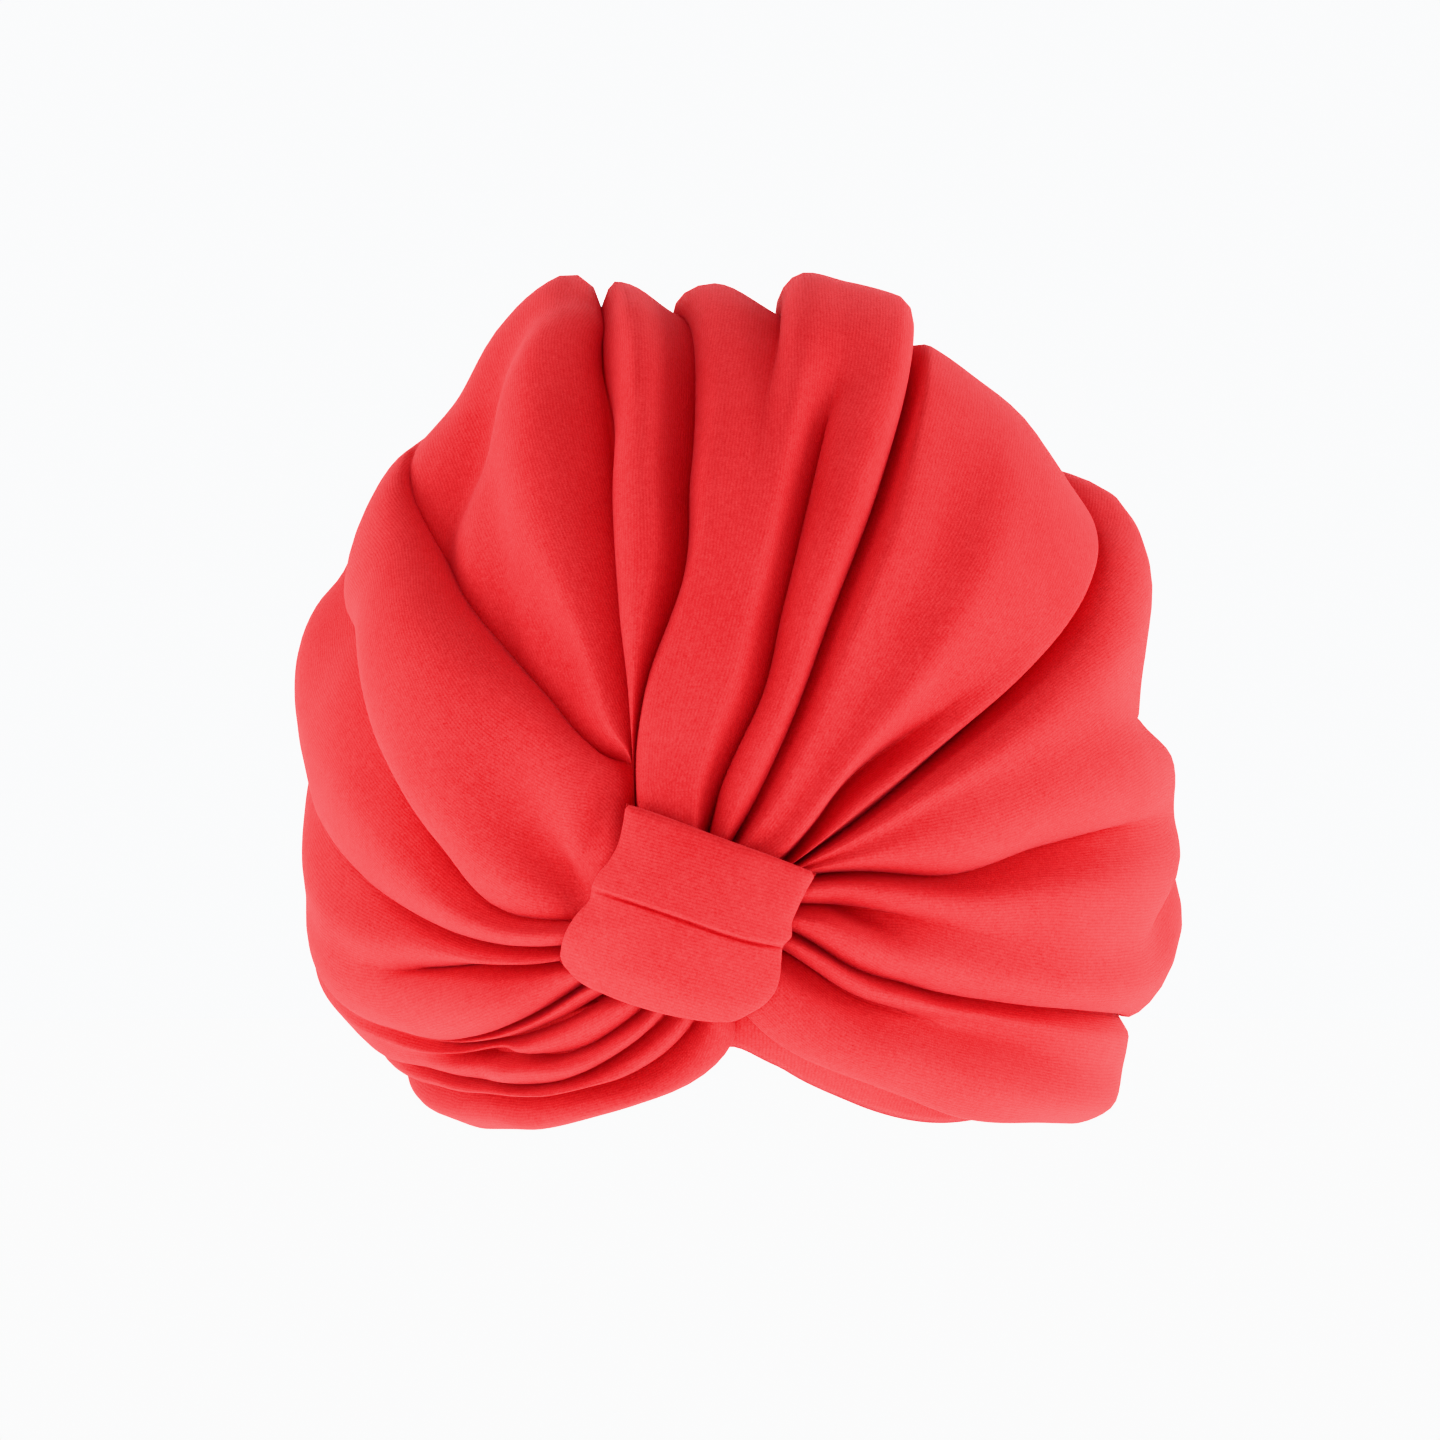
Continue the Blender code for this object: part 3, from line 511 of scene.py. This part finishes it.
def band_frame():
    """The knot band's middle in the front view, and its directions across and up there."""
    tilt, lean = np.radians(BAND_TILT), np.radians(BAND_LEAN)
    across = np.array((np.cos(tilt), np.sin(tilt)))
    up = np.array((np.sin(lean), np.cos(lean)))
    return KNOT + up * BAND_UP, across, up


def band_place(points):
    """Where points stand in the knot band's own directions: how far across and how far up from its middle."""
    middle, across, up = band_frame()
    return (points[..., (0, 2)] - middle) @ np.linalg.inv(np.array((across, up)))


def band_cover(points):
    """1 well inside the knot band's outline, 0 from BAND_MARGIN outside it, and an even S between."""
    place = np.abs(band_place(points))
    outside = np.maximum(place[..., 0] - BAND_WIDTH / 2, place[..., 1] - BAND_HEIGHT / 2)
    return (1.0 - smooth(-BAND_INSIDE * BAND_MARGIN, BAND_MARGIN, outside)) * (points[..., 1] < 0)


def strip_shares(count):
    """Where a fold is divided across, from 0 up to but not including 1: partly even steps, partly a cosine
    that crowds them at its creases."""
    even = np.arange(count) / count
    return STRIP_EVENNESS * even + (1.0 - STRIP_EVENNESS) * (0.5 - 0.5 * np.cos(np.pi * even))


def fold_columns():
    """For every column of the cloth its place, counted in folds from the left edge, the fold it is in, and
    its share of the way across that fold."""
    strips = [number + strip_shares(row[3]) for number, row in enumerate(FOLDS)]
    place = np.concatenate(strips + [[len(FOLDS)]])
    fold = np.minimum(place.astype(int), len(FOLDS) - 1)
    return place, fold, place - fold


def tables_at(latitude):
    """What the tables say at each latitude: the height and crest of every fold, and the lap and opening of
    every crease. Behind the side, heights and laps fade through BACK_DEPTH to NAPE_DEPTH."""
    stations = (SIDE_LATITUDE, BACK_LATITUDE, NAPE_LATITUDE)
    fade = through(stations, (1.0, BACK_DEPTH, NAPE_DEPTH), latitude)
    fade = np.where(latitude < SIDE_LATITUDE, 1.0, fade)[:, None]
    height = through(FOLD_LATITUDES, column_of(FOLDS, 1), latitude) * FOLD_DEPTH * fade
    crest = through(FOLD_LATITUDES, column_of(FOLDS, 2), latitude)
    lap = through(FOLD_LATITUDES, column_of(CREASES, 2), latitude) * fade
    opened = np.clip(through(FOLD_LATITUDES, column_of(CREASES, 3), latitude), 0.0, 1.0)
    return height, crest, lap, opened


def no_stouter(height, width, opened):
    """The folds' heights, each bent over softly by a hyperbolic tangent to stay under STOUTEST of its width.
    Where a crease is shut, the width counts the neighbour's too."""
    shut = 1.0 - opened
    before = np.concatenate((width[:, :1], width[:, :-1]), axis=1)
    after = np.concatenate((width[:, 1:], width[:, -1:]), axis=1)
    limit = STOUTEST * (width + shut[:, :-1] * before + shut[:, 1:] * after)
    return limit * np.tanh(height / np.maximum(limit, NO_WIDTH))


def crease_heights(height, opened, sink):
    """Height of every crease: the lower of its two folds where shut, less as it opens, and sunk as well, in
    full from half open on. The two edges stay on the form."""
    sides = np.concatenate((height[:, :1], height, height[:, -1:]), axis=1)
    bottom = (1.0 - opened) * np.minimum(sides[:, :-1], sides[:, 1:])
    bottom = bottom - sink * opened * np.minimum(2.0 * opened, 1.0)
    bottom[:, 0] = bottom[:, -1] = 0.0
    return bottom


def lip_reaches(lap, opened, height, bottom, width, crest):
    """How far the rolled lip at every crease reaches out: the lap's share of LIP_SHARE_OF_HEIGHT of the upper
    fold's height, and never over LIP_SHARE_OF_WIDTH of the side of that fold, nor over LIP_MOST."""
    before = np.maximum(np.arange(lap.shape[1]) - 1, 0)
    after = np.minimum(np.arange(lap.shape[1]), height.shape[1] - 1)
    next_over = lap > 0
    tall = np.where(next_over, height[:, after], height[:, before]) - bottom
    wide = np.where(next_over, (width * crest)[:, after], (width * (1.0 - crest))[:, before])
    most = np.minimum(np.minimum(LIP_SHARE_OF_HEIGHT * tall, LIP_SHARE_OF_WIDTH * wide), LIP_MOST)
    return np.maximum(np.abs(lap) * opened * most, 0.0)


def fold_rise(share, sharp):
    """Height of one side from crease (0) to crest (1): a quarter round where sharp, a soft S where not."""
    round_side = np.sqrt(np.maximum(1.0 - (1.0 - share) ** 2, 0.0))
    soft_side = 0.5 - 0.5 * np.cos(np.pi * share)
    return sharp * round_side + (1.0 - sharp) * soft_side


def fold_side(share, bottom, climb, width, over, opened, lip):
    """Height of a point on a fold's side and how far it slides to the crease, with its lip and then without.
    Share goes from crease to crest, and over is the lap, negative under the next fold's. A plain side rises
    as fold_rise and slides by the lip times the cube of the share left. A rolled one is two quarter ellipses:
    from the crease out to the lip's brow, and from there up to the crest."""
    sharp = opened * np.where(over > 0, FLANK + FLANK_OVER * over, FLANK * (1.0 + FLANK_UNDER * over))
    plain = bottom + climb * fold_rise(share, np.clip(sharp, 0.0, 1.0))
    plain_slide = lip * (1.0 - share) ** 3
    under = np.pi / 2 * np.clip(share / LIP_SHARE, 0.0, 1.0)
    above = np.pi / 2 * np.clip((share - LIP_SHARE) / (1.0 - LIP_SHARE), 0.0, 1.0)
    brow = LIP_BROW * climb
    lipped = bottom + brow * (1.0 - np.cos(under)) + (climb - brow) * np.sin(above)
    lipped_slide = lip * (1.0 - np.sin(under)) + width * (1.0 - np.cos(above)) - share * width
    rolled = smooth(*ROLLED, over)
    height = plain + (lipped - plain) * rolled
    slide = np.where(over > 0, plain_slide + (lipped_slide - plain_slide) * rolled, -plain_slide)
    return height, slide, plain, np.where(over > 0, plain_slide, -plain_slide)


def hollow_depth(bearing, latitude):
    """Depth of the hollows together, in metres: each is a bell across and a bell along its slanting middle
    line."""
    depth = 0.0
    for _, at_bearing, at_latitude, slant, half_width, half_length, most in HOLLOWS:
        away = latitude - at_latitude
        across = (bearing - at_bearing - slant * away) / half_width
        depth = depth + most / 1000 * np.exp(-(across**2) - (away / half_length) ** 2)
    return depth


def swells(base, bearing, latitude, place):
    """Unevenness of the cloth: swells of three sizes, and puckers that die away from the knot. All of it dies
    at the knot, the nape and the two edges."""
    free = smooth(*SWELLS_START, latitude) * (1.0 - smooth(*SWELLS_END, latitude))
    free = free * smooth(0.0, EDGE_FOLDS, place) * smooth(0.0, EDGE_FOLDS, len(FOLDS) - place)
    swell = sum(most * soft_noise(base, size, SWELL_SEED + n) for n, (size, most) in enumerate(SWELLS))
    spots = np.stack((bearing / RIB_SIZE[0], latitude / RIB_SIZE[1], bearing * 0), -1)
    ribs = GATHER_RIBS * soft_noise(spots, 1.0, RIB_SEED) * (1.0 - smooth(*RIBS_END, latitude))
    return (swell + ribs) * free


def grid_normal(points):
    """The outward direction at each point of a grid of rows and columns."""
    along = np.gradient(points, axis=0)
    across = np.gradient(points, axis=1)
    return unit(np.cross(across, along))


def kept_share(width, fold, share):
    """Share of the folds' height that the inner face follows: none at a crease beside a narrow fold, KEPT
    between wide ones, and straight from crease to crease."""
    room = np.minimum(
        np.concatenate((width[:, :1], width), axis=1),
        np.concatenate((width, width[:, -1:]), axis=1),
    )
    kept = KEPT * smooth(NO_ROOM, FULL_ROOM, room)
    return kept[:, fold] + (kept[:, fold + 1] - kept[:, fold]) * share


def cloth_grids(rows):
    """The cloth's outer face, its inner face and the form under them as grids of points, rows from knot to
    nape, and every column's fold. A point of the outer face is the form's, plus the fold's height and the
    swells less the hollows along the normal, plus the lap sideways. The inner face follows plainer, lower
    folds, one thickness further in."""
    place, fold, share = fold_columns()
    at = GATHER_LATITUDE + (NAPE_LATITUDE - GATHER_LATITUDE) * np.linspace(0.0, 1.0, rows)
    creases = crease_bearings(at)
    bearing = creases[:, fold] + (creases[:, fold + 1] - creases[:, fold]) * share
    latitude = np.broadcast_to(at[:, None], bearing.shape)
    base = form_at(bearing, latitude)
    width = np.linalg.norm(np.diff(form_at(creases, at[:, None] + creases * 0), axis=1), axis=-1)

    height, crest, lap, opened = tables_at(at)
    height = no_stouter(height, width, opened)
    sink = CREASE_SINK * (1.0 - smooth(*SINK_FADES, at))[:, None]
    bottom = crease_heights(height, opened, sink)
    lips = lip_reaches(lap, opened, height, bottom, width, crest)

    top = crest[:, fold]
    rising = share < top

    def at_crease(values):
        """The value at the crease on each point's side of its fold."""
        return np.where(rising, values[:, fold], values[:, fold + 1])

    towards = np.where(rising, 1.0, -1.0)
    side_part = np.where(rising, top, 1.0 - top)
    side_share = np.where(rising, share, 1.0 - share) / side_part
    cover = band_cover(base)
    low = at_crease(bottom)
    tall = height[:, fold] * (1.0 - cover) + np.minimum(height[:, fold], UNDER_BAND) * cover
    climb = tall - low
    lip = np.minimum(at_crease(lips) * (1.0 - LIP_PRESSED * cover), LIP_SHARE_OF_CLIMB * climb)
    side_width = width[:, fold] * side_part
    over = at_crease(lap) * towards
    up, slide, plain, plain_slide = fold_side(
        side_share, low, climb, side_width, over, at_crease(opened), lip
    )

    hollow = hollow_depth(bearing, latitude)
    up = up + (swells(base, bearing, latitude, place) - hollow) * (1.0 - cover)
    normal = form_normal(bearing, latitude)
    sideways = form_sideways(bearing, latitude) * towards[..., None]
    outer = base + normal * up[..., None] + sideways * slide[..., None]

    kept = kept_share(width, fold, share)
    inside = np.maximum(plain, 0.0) * kept - sink - np.maximum(hollow, 0.0)
    inside_slide = plain_slide * np.maximum(kept, SLIDE_KEPT)
    moved = normal * inside[..., None] + sideways * inside_slide[..., None]
    inner = base + moved - grid_normal(base + KEPT * moved) * CLOTH
    return outer, inner, base, fold


def cell_corners(grid):
    """The values at the four corners of every cell of a grid, each after the one beside it."""
    return np.stack((grid[:-1, :-1], grid[:-1, 1:], grid[1:, 1:], grid[1:, :-1]), -1)


def walked(points, axis):
    """The length walked along one axis of a grid of points, from 0 at its start."""
    steps = np.linalg.norm(np.diff(points, axis=axis), axis=-1)
    length = np.cumsum(steps, axis=axis)
    return np.concatenate((length.take([0], axis=axis) * 0, length), axis=axis)


def cloth_map(outer, base, fold):
    """The cloth's own across and along at the corners of the outer side's faces: the length walked over the
    folds, from the middle of each, and the length walked over the form from the knot."""
    across = walked(outer, 1)
    edges = np.append(np.flatnonzero(np.diff(fold, prepend=-1)), len(fold) - 1)
    middles = (across[:, edges[:-1]] + across[:, edges[1:]]) / 2
    middle = middles[:, fold[:-1]]
    across = cell_corners(across) - np.stack((middle[:-1], middle[:-1], middle[1:], middle[1:]), -1)
    return np.stack((across, cell_corners(walked(base, 0))), -1).reshape(-1, 2)


def wall_between(outer, inner):
    """Vertices and quads of the closed wall between two grids of the same size: both sides, then the rim."""
    rows, columns = outer.shape[:2]
    count = rows * columns
    index = np.arange(count).reshape(rows, columns)
    outside = cell_corners(index).reshape(-1, 4)
    inside = outside[:, TURNED] + count
    edge = np.concatenate((index[0, :], index[1:, -1], index[-1, -2::-1], index[-2:0:-1, 0]))
    following = np.roll(edge, -1)
    rim = np.stack((following, edge, edge + count, following + count), -1)
    vertices = np.concatenate((outer.reshape(-1, 3), inner.reshape(-1, 3)))
    return vertices, np.concatenate((outside, inside, rim))


def edge_heights(turn):
    """Height of the cloth's lower edge at each turn round the upright axis, from the two edges' creases."""
    latitude = np.linspace(EDGE_LATITUDE, NAPE_LATITUDE, EDGE_POINTS)
    creases = crease_bearings(latitude)
    left = form_at(creases[:, 0], latitude)
    right = form_at(creases[:, -1], latitude)
    ring = np.concatenate((left[::-1], right))
    turns = np.degrees(np.arctan2(ring[:, 0], -ring[:, 1]))
    return np.interp(turn, turns, ring[:, 2], period=360.0)


def inner_band_ring(columns, rows):
    """The inner band as one closed ring of points: columns round the opening, rows round the strip's section,
    up its outer face and down its inner one. Its height follows the cloth's lower edge, and its reach is the
    form's less the cloth and the gap."""
    turn = np.linspace(-180.0, 180.0, columns + 1)[:-1]
    shifts = range(-INNER_BAND_EVENED, INNER_BAND_EVENED + 1)
    edge = edge_heights(turn)
    edge = sum(np.roll(edge, shift) for shift in shifts) / len(shifts)
    shows = smooth(*INNER_BAND_OUT, turn) * (1.0 - smooth(*INNER_BAND_BACK, turn))
    low = edge + INNER_BAND_SET_IN - shows * (INNER_BAND_SHOWS + INNER_BAND_SET_IN)
    swing = np.linspace(0.0, np.pi, rows // 2)
    rise = 0.5 - 0.5 * np.cos(swing)
    out = np.minimum(1.0, INNER_BAND_ROUND * np.sin(swing)) * INNER_BAND_THICK / 2
    height = low + np.concatenate((rise, rise[-2:0:-1]))[:, None] * INNER_BAND_HEIGHT
    depth = np.concatenate((out, -out[-2:0:-1]))[:, None]
    turn = np.radians(np.broadcast_to(turn, height.shape))
    way, reach = form_reach(turn, height)
    ring = way * (reach - CLOTH - INNER_BAND_GAP - INNER_BAND_THICK / 2 + depth)[..., None]
    ring[..., 2] = height
    return ring


def closed_tube(points):
    """Vertices and quads of a grid that closes on itself both ways."""
    rows, columns = points.shape[:2]
    index = np.arange(rows * columns).reshape(rows, columns)
    right = np.roll(index, -1, axis=1)
    up = np.roll(index, -1, axis=0)
    both = np.roll(right, -1, axis=0)
    return points.reshape(-1, 3), np.stack((index, right, both, up), -1).reshape(-1, 4)


def crowded(count, evenness):
    """Places from -1 to 1: partly even steps, and partly a cosine that crowds them at both ends."""
    even = np.linspace(-1.0, 1.0, count)
    return evenness * even - (1.0 - evenness) * np.cos((even + 1.0) * np.pi / 2)


def knot_band_grid(columns, rows):
    """Places on the knot band from -1 to 1, across and up. Rows are drawn towards the seam by a bell."""
    u = crowded(columns, BAND_COLUMN_EVENNESS)
    v = crowded(rows, BAND_ROW_EVENNESS)
    v = v - SEAM_CROWDING * (v - SEAM_ROW) * np.exp(-(((v - SEAM_ROW) / SEAM_CROWD_WIDTH) ** 2))
    return np.broadcast_arrays(u[None, :], v[:, None])


def seam_relief(over_seam, u):
    """How far the knot band's front stands out by its seam: an even S up the step, less a bell for the
    groove, both fading towards the left side."""
    step = BAND_STEP * (smooth(*BAND_STEP_RISE, over_seam) - BAND_STEP_BACK)
    groove = BAND_GROOVE * np.exp(-(((over_seam + BAND_GROOVE_DOWN) / BAND_GROOVE_WIDTH) ** 2))
    return (step - groove) * (BAND_LEFT_SHARE + (1.0 - BAND_LEFT_SHARE) * smooth(*BAND_LEFT, u))


def knot_band_faces(columns, rows):
    """Front and back faces of the knot band. Both stand off the form by the band's distance plus a swell that
    dies at its sides, less the curl of its edges. The thickness is a quarter round in from every edge."""
    middle, across, up = band_frame()
    u, v = knot_band_grid(columns, rows)
    down = (1.0 - v) / 2
    along = (1.0 + u) / 2
    sides = through([row[0] for row in BAND_SIDES], [row[1:] for row in BAND_SIDES], down) / 1000
    ends = through([row[0] for row in BAND_ENDS], [row[1:] for row in BAND_ENDS], along) / 1000
    left, right = sides[..., 0], sides[..., 1]
    upper, lower, seam = ends[..., 0], ends[..., 1], ends[..., 2]
    flat_u = left * (1.0 - along) + right * along
    flat_v = upper * (1.0 - down) + lower * down
    x = middle[0] + flat_u * across[0] + flat_v * up[0]
    z = middle[1] + flat_u * across[1] + flat_v * up[1]

    swell = BAND_SWELL * (1.0 - u**2) * (1.0 - v**4)
    curl = BAND_CURL * smooth(BAND_CURL_FROM, 1.0, -v) ** 1.5
    curl = curl + BAND_SIDE_CURL * smooth(BAND_SIDE_CURL_FROM, 1.0, np.abs(u)) ** 2
    rest = front_depth(x, z) + BAND_OFF + swell - curl + BAND_THICK / 2
    size, most = BAND_SWELLS
    rest = rest + most * soft_noise(np.stack((x, x * 0, z), -1), size, BAND_SEED)

    from_side = (1.0 - np.abs(u)) * (right - left) / 2
    from_end = (1.0 - np.abs(v)) * (upper - lower) / 2
    inward = 1.0 - np.clip(np.stack((from_side, from_end), -1) / BAND_EDGE, 0.0, 1.0)
    corner = np.minimum(np.linalg.norm(inward, axis=-1), 1.0)
    full = np.sqrt(np.maximum(1.0 - corner**2, 0.0))
    front = rest + full * (BAND_THICK / 2 + seam_relief(flat_v - seam, u))
    back = rest - full * BAND_THICK / 2
    return np.stack((x, -front, z), -1), np.stack((x, -back, z), -1)


def slab_between(front, back):
    """Vertices and quads of a slab whose two faces meet along their shared border."""
    rows, columns = front.shape[:2]
    index = np.arange(rows * columns).reshape(rows, columns)
    inside = np.zeros((rows, columns), bool)
    inside[1:-1, 1:-1] = True
    behind = index.copy()
    behind[inside] = rows * columns + np.arange(inside.sum())
    front_faces = cell_corners(index).reshape(-1, 4)
    back_faces = cell_corners(behind).reshape(-1, 4)[:, TURNED]
    vertices = np.concatenate((front.reshape(-1, 3), back[inside]))
    return vertices, np.concatenate((front_faces, back_faces))


def make_piece(name, vertices, faces, corner_map):
    """A smooth-shaded mesh at the origin with its cloth map, two numbers at every corner of every face."""
    mesh = bpy.data.meshes.new(name)
    mesh.from_pydata(vertices, [], faces)
    layer = mesh.uv_layers.new(name="cloth")
    layer.data.foreach_set("uv", np.ascontiguousarray(corner_map, float).ravel())
    mesh.shade_smooth()
    mesh.update()
    piece = bpy.data.objects.new(name, mesh)
    bpy.context.scene.collection.objects.link(piece)
    return piece


class Term:
    """A number in a material. Python's operators on it add Math nodes."""

    def __init__(self, finish, socket):
        self.finish = finish
        self.socket = socket

    def __add__(self, other):
        return self.finish.maths("ADD", self, other)

    __radd__ = __add__

    def __mul__(self, other):
        return self.finish.maths("MULTIPLY", self, other)

    __rmul__ = __mul__

    def __sub__(self, other):
        return self.finish.maths("SUBTRACT", self, other)

    def __rsub__(self, other):
        return self.finish.maths("SUBTRACT", other, self)


class Finish:
    """A material under construction, or the nodes of the surround."""

    def __init__(self, name, tree=None):
        if tree is None:
            self.material = bpy.data.materials.new(name)
            self.material.use_nodes = True
            tree = self.material.node_tree
        self.tree = tree
        self.shader = tree.nodes.get("Principled BSDF")

    def put(self, socket, value):
        """A link or a plain value into a socket."""
        if isinstance(value, Term):
            self.tree.links.new(value.socket, socket)
        else:
            socket.default_value = value

    def node(self, kind, settings=None, inputs=None, output=0):
        """Any node: its settings first, then the values or links of its sockets."""
        made = self.tree.nodes.new(kind)
        for name, value in (settings or {}).items():
            setattr(made, name, value)
        for name, value in (inputs or {}).items():
            self.put(made.inputs[name], value)
        return Term(self, made.outputs[output])

    def maths(self, operation, *values):
        """One Math node: a sum, a sine and the like of its values."""
        return self.node("ShaderNodeMath", {"operation": operation}, dict(enumerate(values)))

    def numbers(self, vector):
        """The three numbers of a vector."""
        split = self.node("ShaderNodeSeparateXYZ", {}, {0: vector}).socket.node
        return [Term(self, socket) for socket in split.outputs]

    def noise(self, vector, scale, detail, roughness):
        """Soft noise in three dimensions, from 0 to 1."""
        inputs = {"Vector": vector, "Scale": scale, "Detail": detail, "Roughness": roughness}
        return self.node("ShaderNodeTexNoise", {"noise_dimensions": "3D"}, inputs)

    def mixed(self, share, first, second):
        """One colour turning into another as share goes from 0 to 1."""
        return self.node("ShaderNodeMix", {"data_type": "RGBA"}, {0: share, 6: first, 7: second}, output=2)

    def ramp(self, value, limits, low, high):
        """A number that goes from low to high in an even S while value passes between the limits."""
        inputs = {0: value, 1: limits[0], 2: limits[1], 3: low, 4: high}
        return self.node("ShaderNodeMapRange", {"interpolation_type": "SMOOTHSTEP"}, inputs)

    def finish_with(self, **inputs):
        """The material, once the shader's sockets have their values; _ in a name stands for a space."""
        for name, value in inputs.items():
            self.put(self.shader.inputs[name.replace("_", " ")], value)
        return self.material


def jersey(name, red, deep_red, nap):
    """Brushed double jersey. A stitch is half a sine wave across its column times a weak wave along it,
    slanted from the middle, and a nap of fine noise blurs it. The colour drifts slowly, and it is deeper
    between the stitches as painted shade where their relief dips."""
    f = Finish(name)
    place = f.node("ShaderNodeTexCoord", output=3)
    across, along, _ = f.numbers(f.node("ShaderNodeUVMap", {"uv_map": "cloth"}))
    wobble = f.noise(place, *WOBBLE)
    column = f.maths("FRACT", across * (1.0 / WALE) + wobble * WALE_WOBBLE)
    slant = f.maths("ABSOLUTE", column - 0.5) * STITCH_SLANT
    row = along * (1.0 / COURSE) + slant + wobble * COURSE_WOBBLE
    courses = f.maths("SINE", row * (2.0 * np.pi))
    ridge = f.maths("SINE", column * np.pi)
    stitches = ridge * (courses * ROW_SHOWS + (1.0 - ROW_SHOWS))
    fuzz = f.noise(place, *FUZZ)
    tufts = f.noise(place, *TUFTS)
    drift = f.noise(place, *DRIFT)
    # Painted shade: the stitches' part deepens the colour between the columns; fuzz and tufts are random
    # tone.
    grain_and_stitch_shade = (stitches - 0.5) * STITCH_SHADE_TONE + (fuzz - 0.5) * FUZZ_TONE + (tufts - 0.5) * TUFT_TONE
    tone = grain_and_stitch_shade + (drift - 0.5) * DRIFT_TONE + MIDDLE_TONE
    colour = f.mixed(tone, (*deep_red, 1.0), (*red, 1.0))
    relief = stitches * STITCH_RELIEF + fuzz * (NAP_RELIEF * nap) + tufts * (TUFT_SHARE * NAP_RELIEF * nap)
    bump = f.node("ShaderNodeBump", {}, {"Strength": BUMP_STRENGTH, "Distance": 1.0, "Height": relief})
    return f.finish_with(
        Base_Color=colour,
        Roughness=0.86,
        Normal=bump,
        Specular_IOR_Level=0.12,
        Sheen_Weight=0.12,
        Sheen_Roughness=0.34,
        Sheen_Tint=(*PINK_NAP, 1.0),
    )


def dress(piece, node, finish):
    """The piece takes the CAD node's place and its finish."""
    piece.data.materials.append(finish)
    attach(piece, "root")
    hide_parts(node)


def build_crown():
    """The whole outer cloth, one wall. The inner side has the outer side's cloth map, and the rim's is its
    place: across plus depth, and height."""
    outer, inner, base, fold = cloth_grids(CLOTH_ROWS)
    vertices, faces = wall_between(outer, inner)
    outside = cloth_map(outer, base, fold)
    inside = outside.reshape(-1, 4, 2)[:, TURNED].reshape(-1, 2)
    rim = vertices[faces[len(outside) // 2:].ravel()]
    rim = np.stack((rim[:, 0] + rim[:, 1], rim[:, 2]), -1)
    return make_piece("pleated_crown", vertices, faces, np.concatenate((outside, inside, rim)))


def build_inner_band():
    """The plain strip inside the opening. Its cloth map is the length round it and the height."""
    vertices, faces = closed_tube(inner_band_ring(INNER_BAND_COLUMNS, INNER_BAND_ROWS))
    spots = vertices[faces]
    turn = np.unwrap(np.arctan2(spots[..., 0], -spots[..., 1]), axis=1)
    corner_map = np.stack((turn * INNER_BAND_RADIUS, spots[..., 2]), -1).reshape(-1, 2)
    return make_piece("inner_band_strip", vertices, faces, corner_map)


def build_knot_band():
    """The short flat strap over the gather. Its cloth map is its own up and across."""
    vertices, faces = slab_between(*knot_band_faces(BAND_COLUMNS, BAND_ROWS))
    corner_map = band_place(vertices[faces.ravel()])[:, ::-1]
    return make_piece("gather_band", vertices, faces, corner_map)


def build_floor():
    """A pale round floor that glows evenly; it is not attached to the object's bodies."""
    turns = np.linspace(0.0, 2.0 * np.pi, FLOOR_CORNERS + 1)[:-1]
    rim = np.stack((np.cos(turns) * FLOOR_RADIUS, np.sin(turns) * FLOOR_RADIUS, turns * 0 + FLOOR), -1)
    mesh = bpy.data.meshes.new("floor")
    mesh.from_pydata(rim, [], [list(range(FLOOR_CORNERS))])
    floor = bpy.data.objects.new("floor", mesh)
    floor.data.materials.append(Finish("pale_floor").finish_with(
        Base_Color=(0.8, 0.8, 0.8, 1.0), Roughness=0.9, Specular_IOR_Level=0.0,
        Emission_Color=(1.0, 1.0, 1.0, 1.0), Emission_Strength=FLOOR_GLOW,
    ))
    bpy.context.scene.collection.objects.link(floor)


def light_surround():
    """A pale surround that is dimmer in front and overhead."""
    world = bpy.data.worlds.new("pale_surround")
    world.use_nodes = True
    f = Finish("surround_nodes", world.node_tree)
    _, back, up = f.numbers(f.node("ShaderNodeTexCoord", output=0))
    shade = f.ramp(back, FRONT_TO_BACK, FRONT_LIGHT, BACK_LIGHT)
    dim = f.ramp(up, SIDE_TO_TOP, 1.0, TOP_SHARE)
    background = world.node_tree.nodes["Background"]
    f.put(background.inputs["Strength"], shade * dim)
    f.put(background.inputs["Color"], SURROUND)
    bpy.context.scene.world = world


def place_softboxes():
    """Round soft lights that face the turban."""
    for name, x, y, z, size, power in SOFTBOXES:
        box = bpy.data.lights.new(name, "AREA")
        box.shape = "DISK"
        box.size = size
        box.energy = power
        holder = bpy.data.objects.new(name, box)
        holder.location = (x, y, z)
        way = Vector((0.0, 0.0, LIGHTS_AIM)) - holder.location
        holder.rotation_euler = way.to_track_quat("-Z", "Y").to_euler()
        bpy.context.scene.collection.objects.link(holder)


def place_camera():
    """The camera, level and straight in front."""
    camera = bpy.data.cameras.new("camera")
    camera.sensor_width = SENSOR
    camera.lens = SENSOR * CAMERA_DISTANCE / CAMERA_SEES
    holder = bpy.data.objects.new("camera", camera)
    holder.location = (CAMERA_ACROSS, -CAMERA_DISTANCE, CAMERA_UP)
    holder.rotation_euler = (np.pi / 2, 0.0, 0.0)
    scene = bpy.context.scene
    scene.collection.objects.link(holder)
    scene.camera = holder
    scene.view_settings.view_transform = "Khronos PBR Neutral"


crown = build_crown()
inner_band = build_inner_band()
knot_band = build_knot_band()
dress(
    crown, "crown", jersey("brushed_red_jersey", RED, DEEP_RED, 1.0),
)
dress(
    inner_band, "inner_band", jersey("brushed_red_jersey_inside", RED, DEEP_RED, 1.0),
)
dress(
    knot_band, "knot_band", jersey("brushed_red_jersey_band", RED, DEEP_RED, 0.8),
)
build_floor()
light_surround()
place_softboxes()
place_camera()
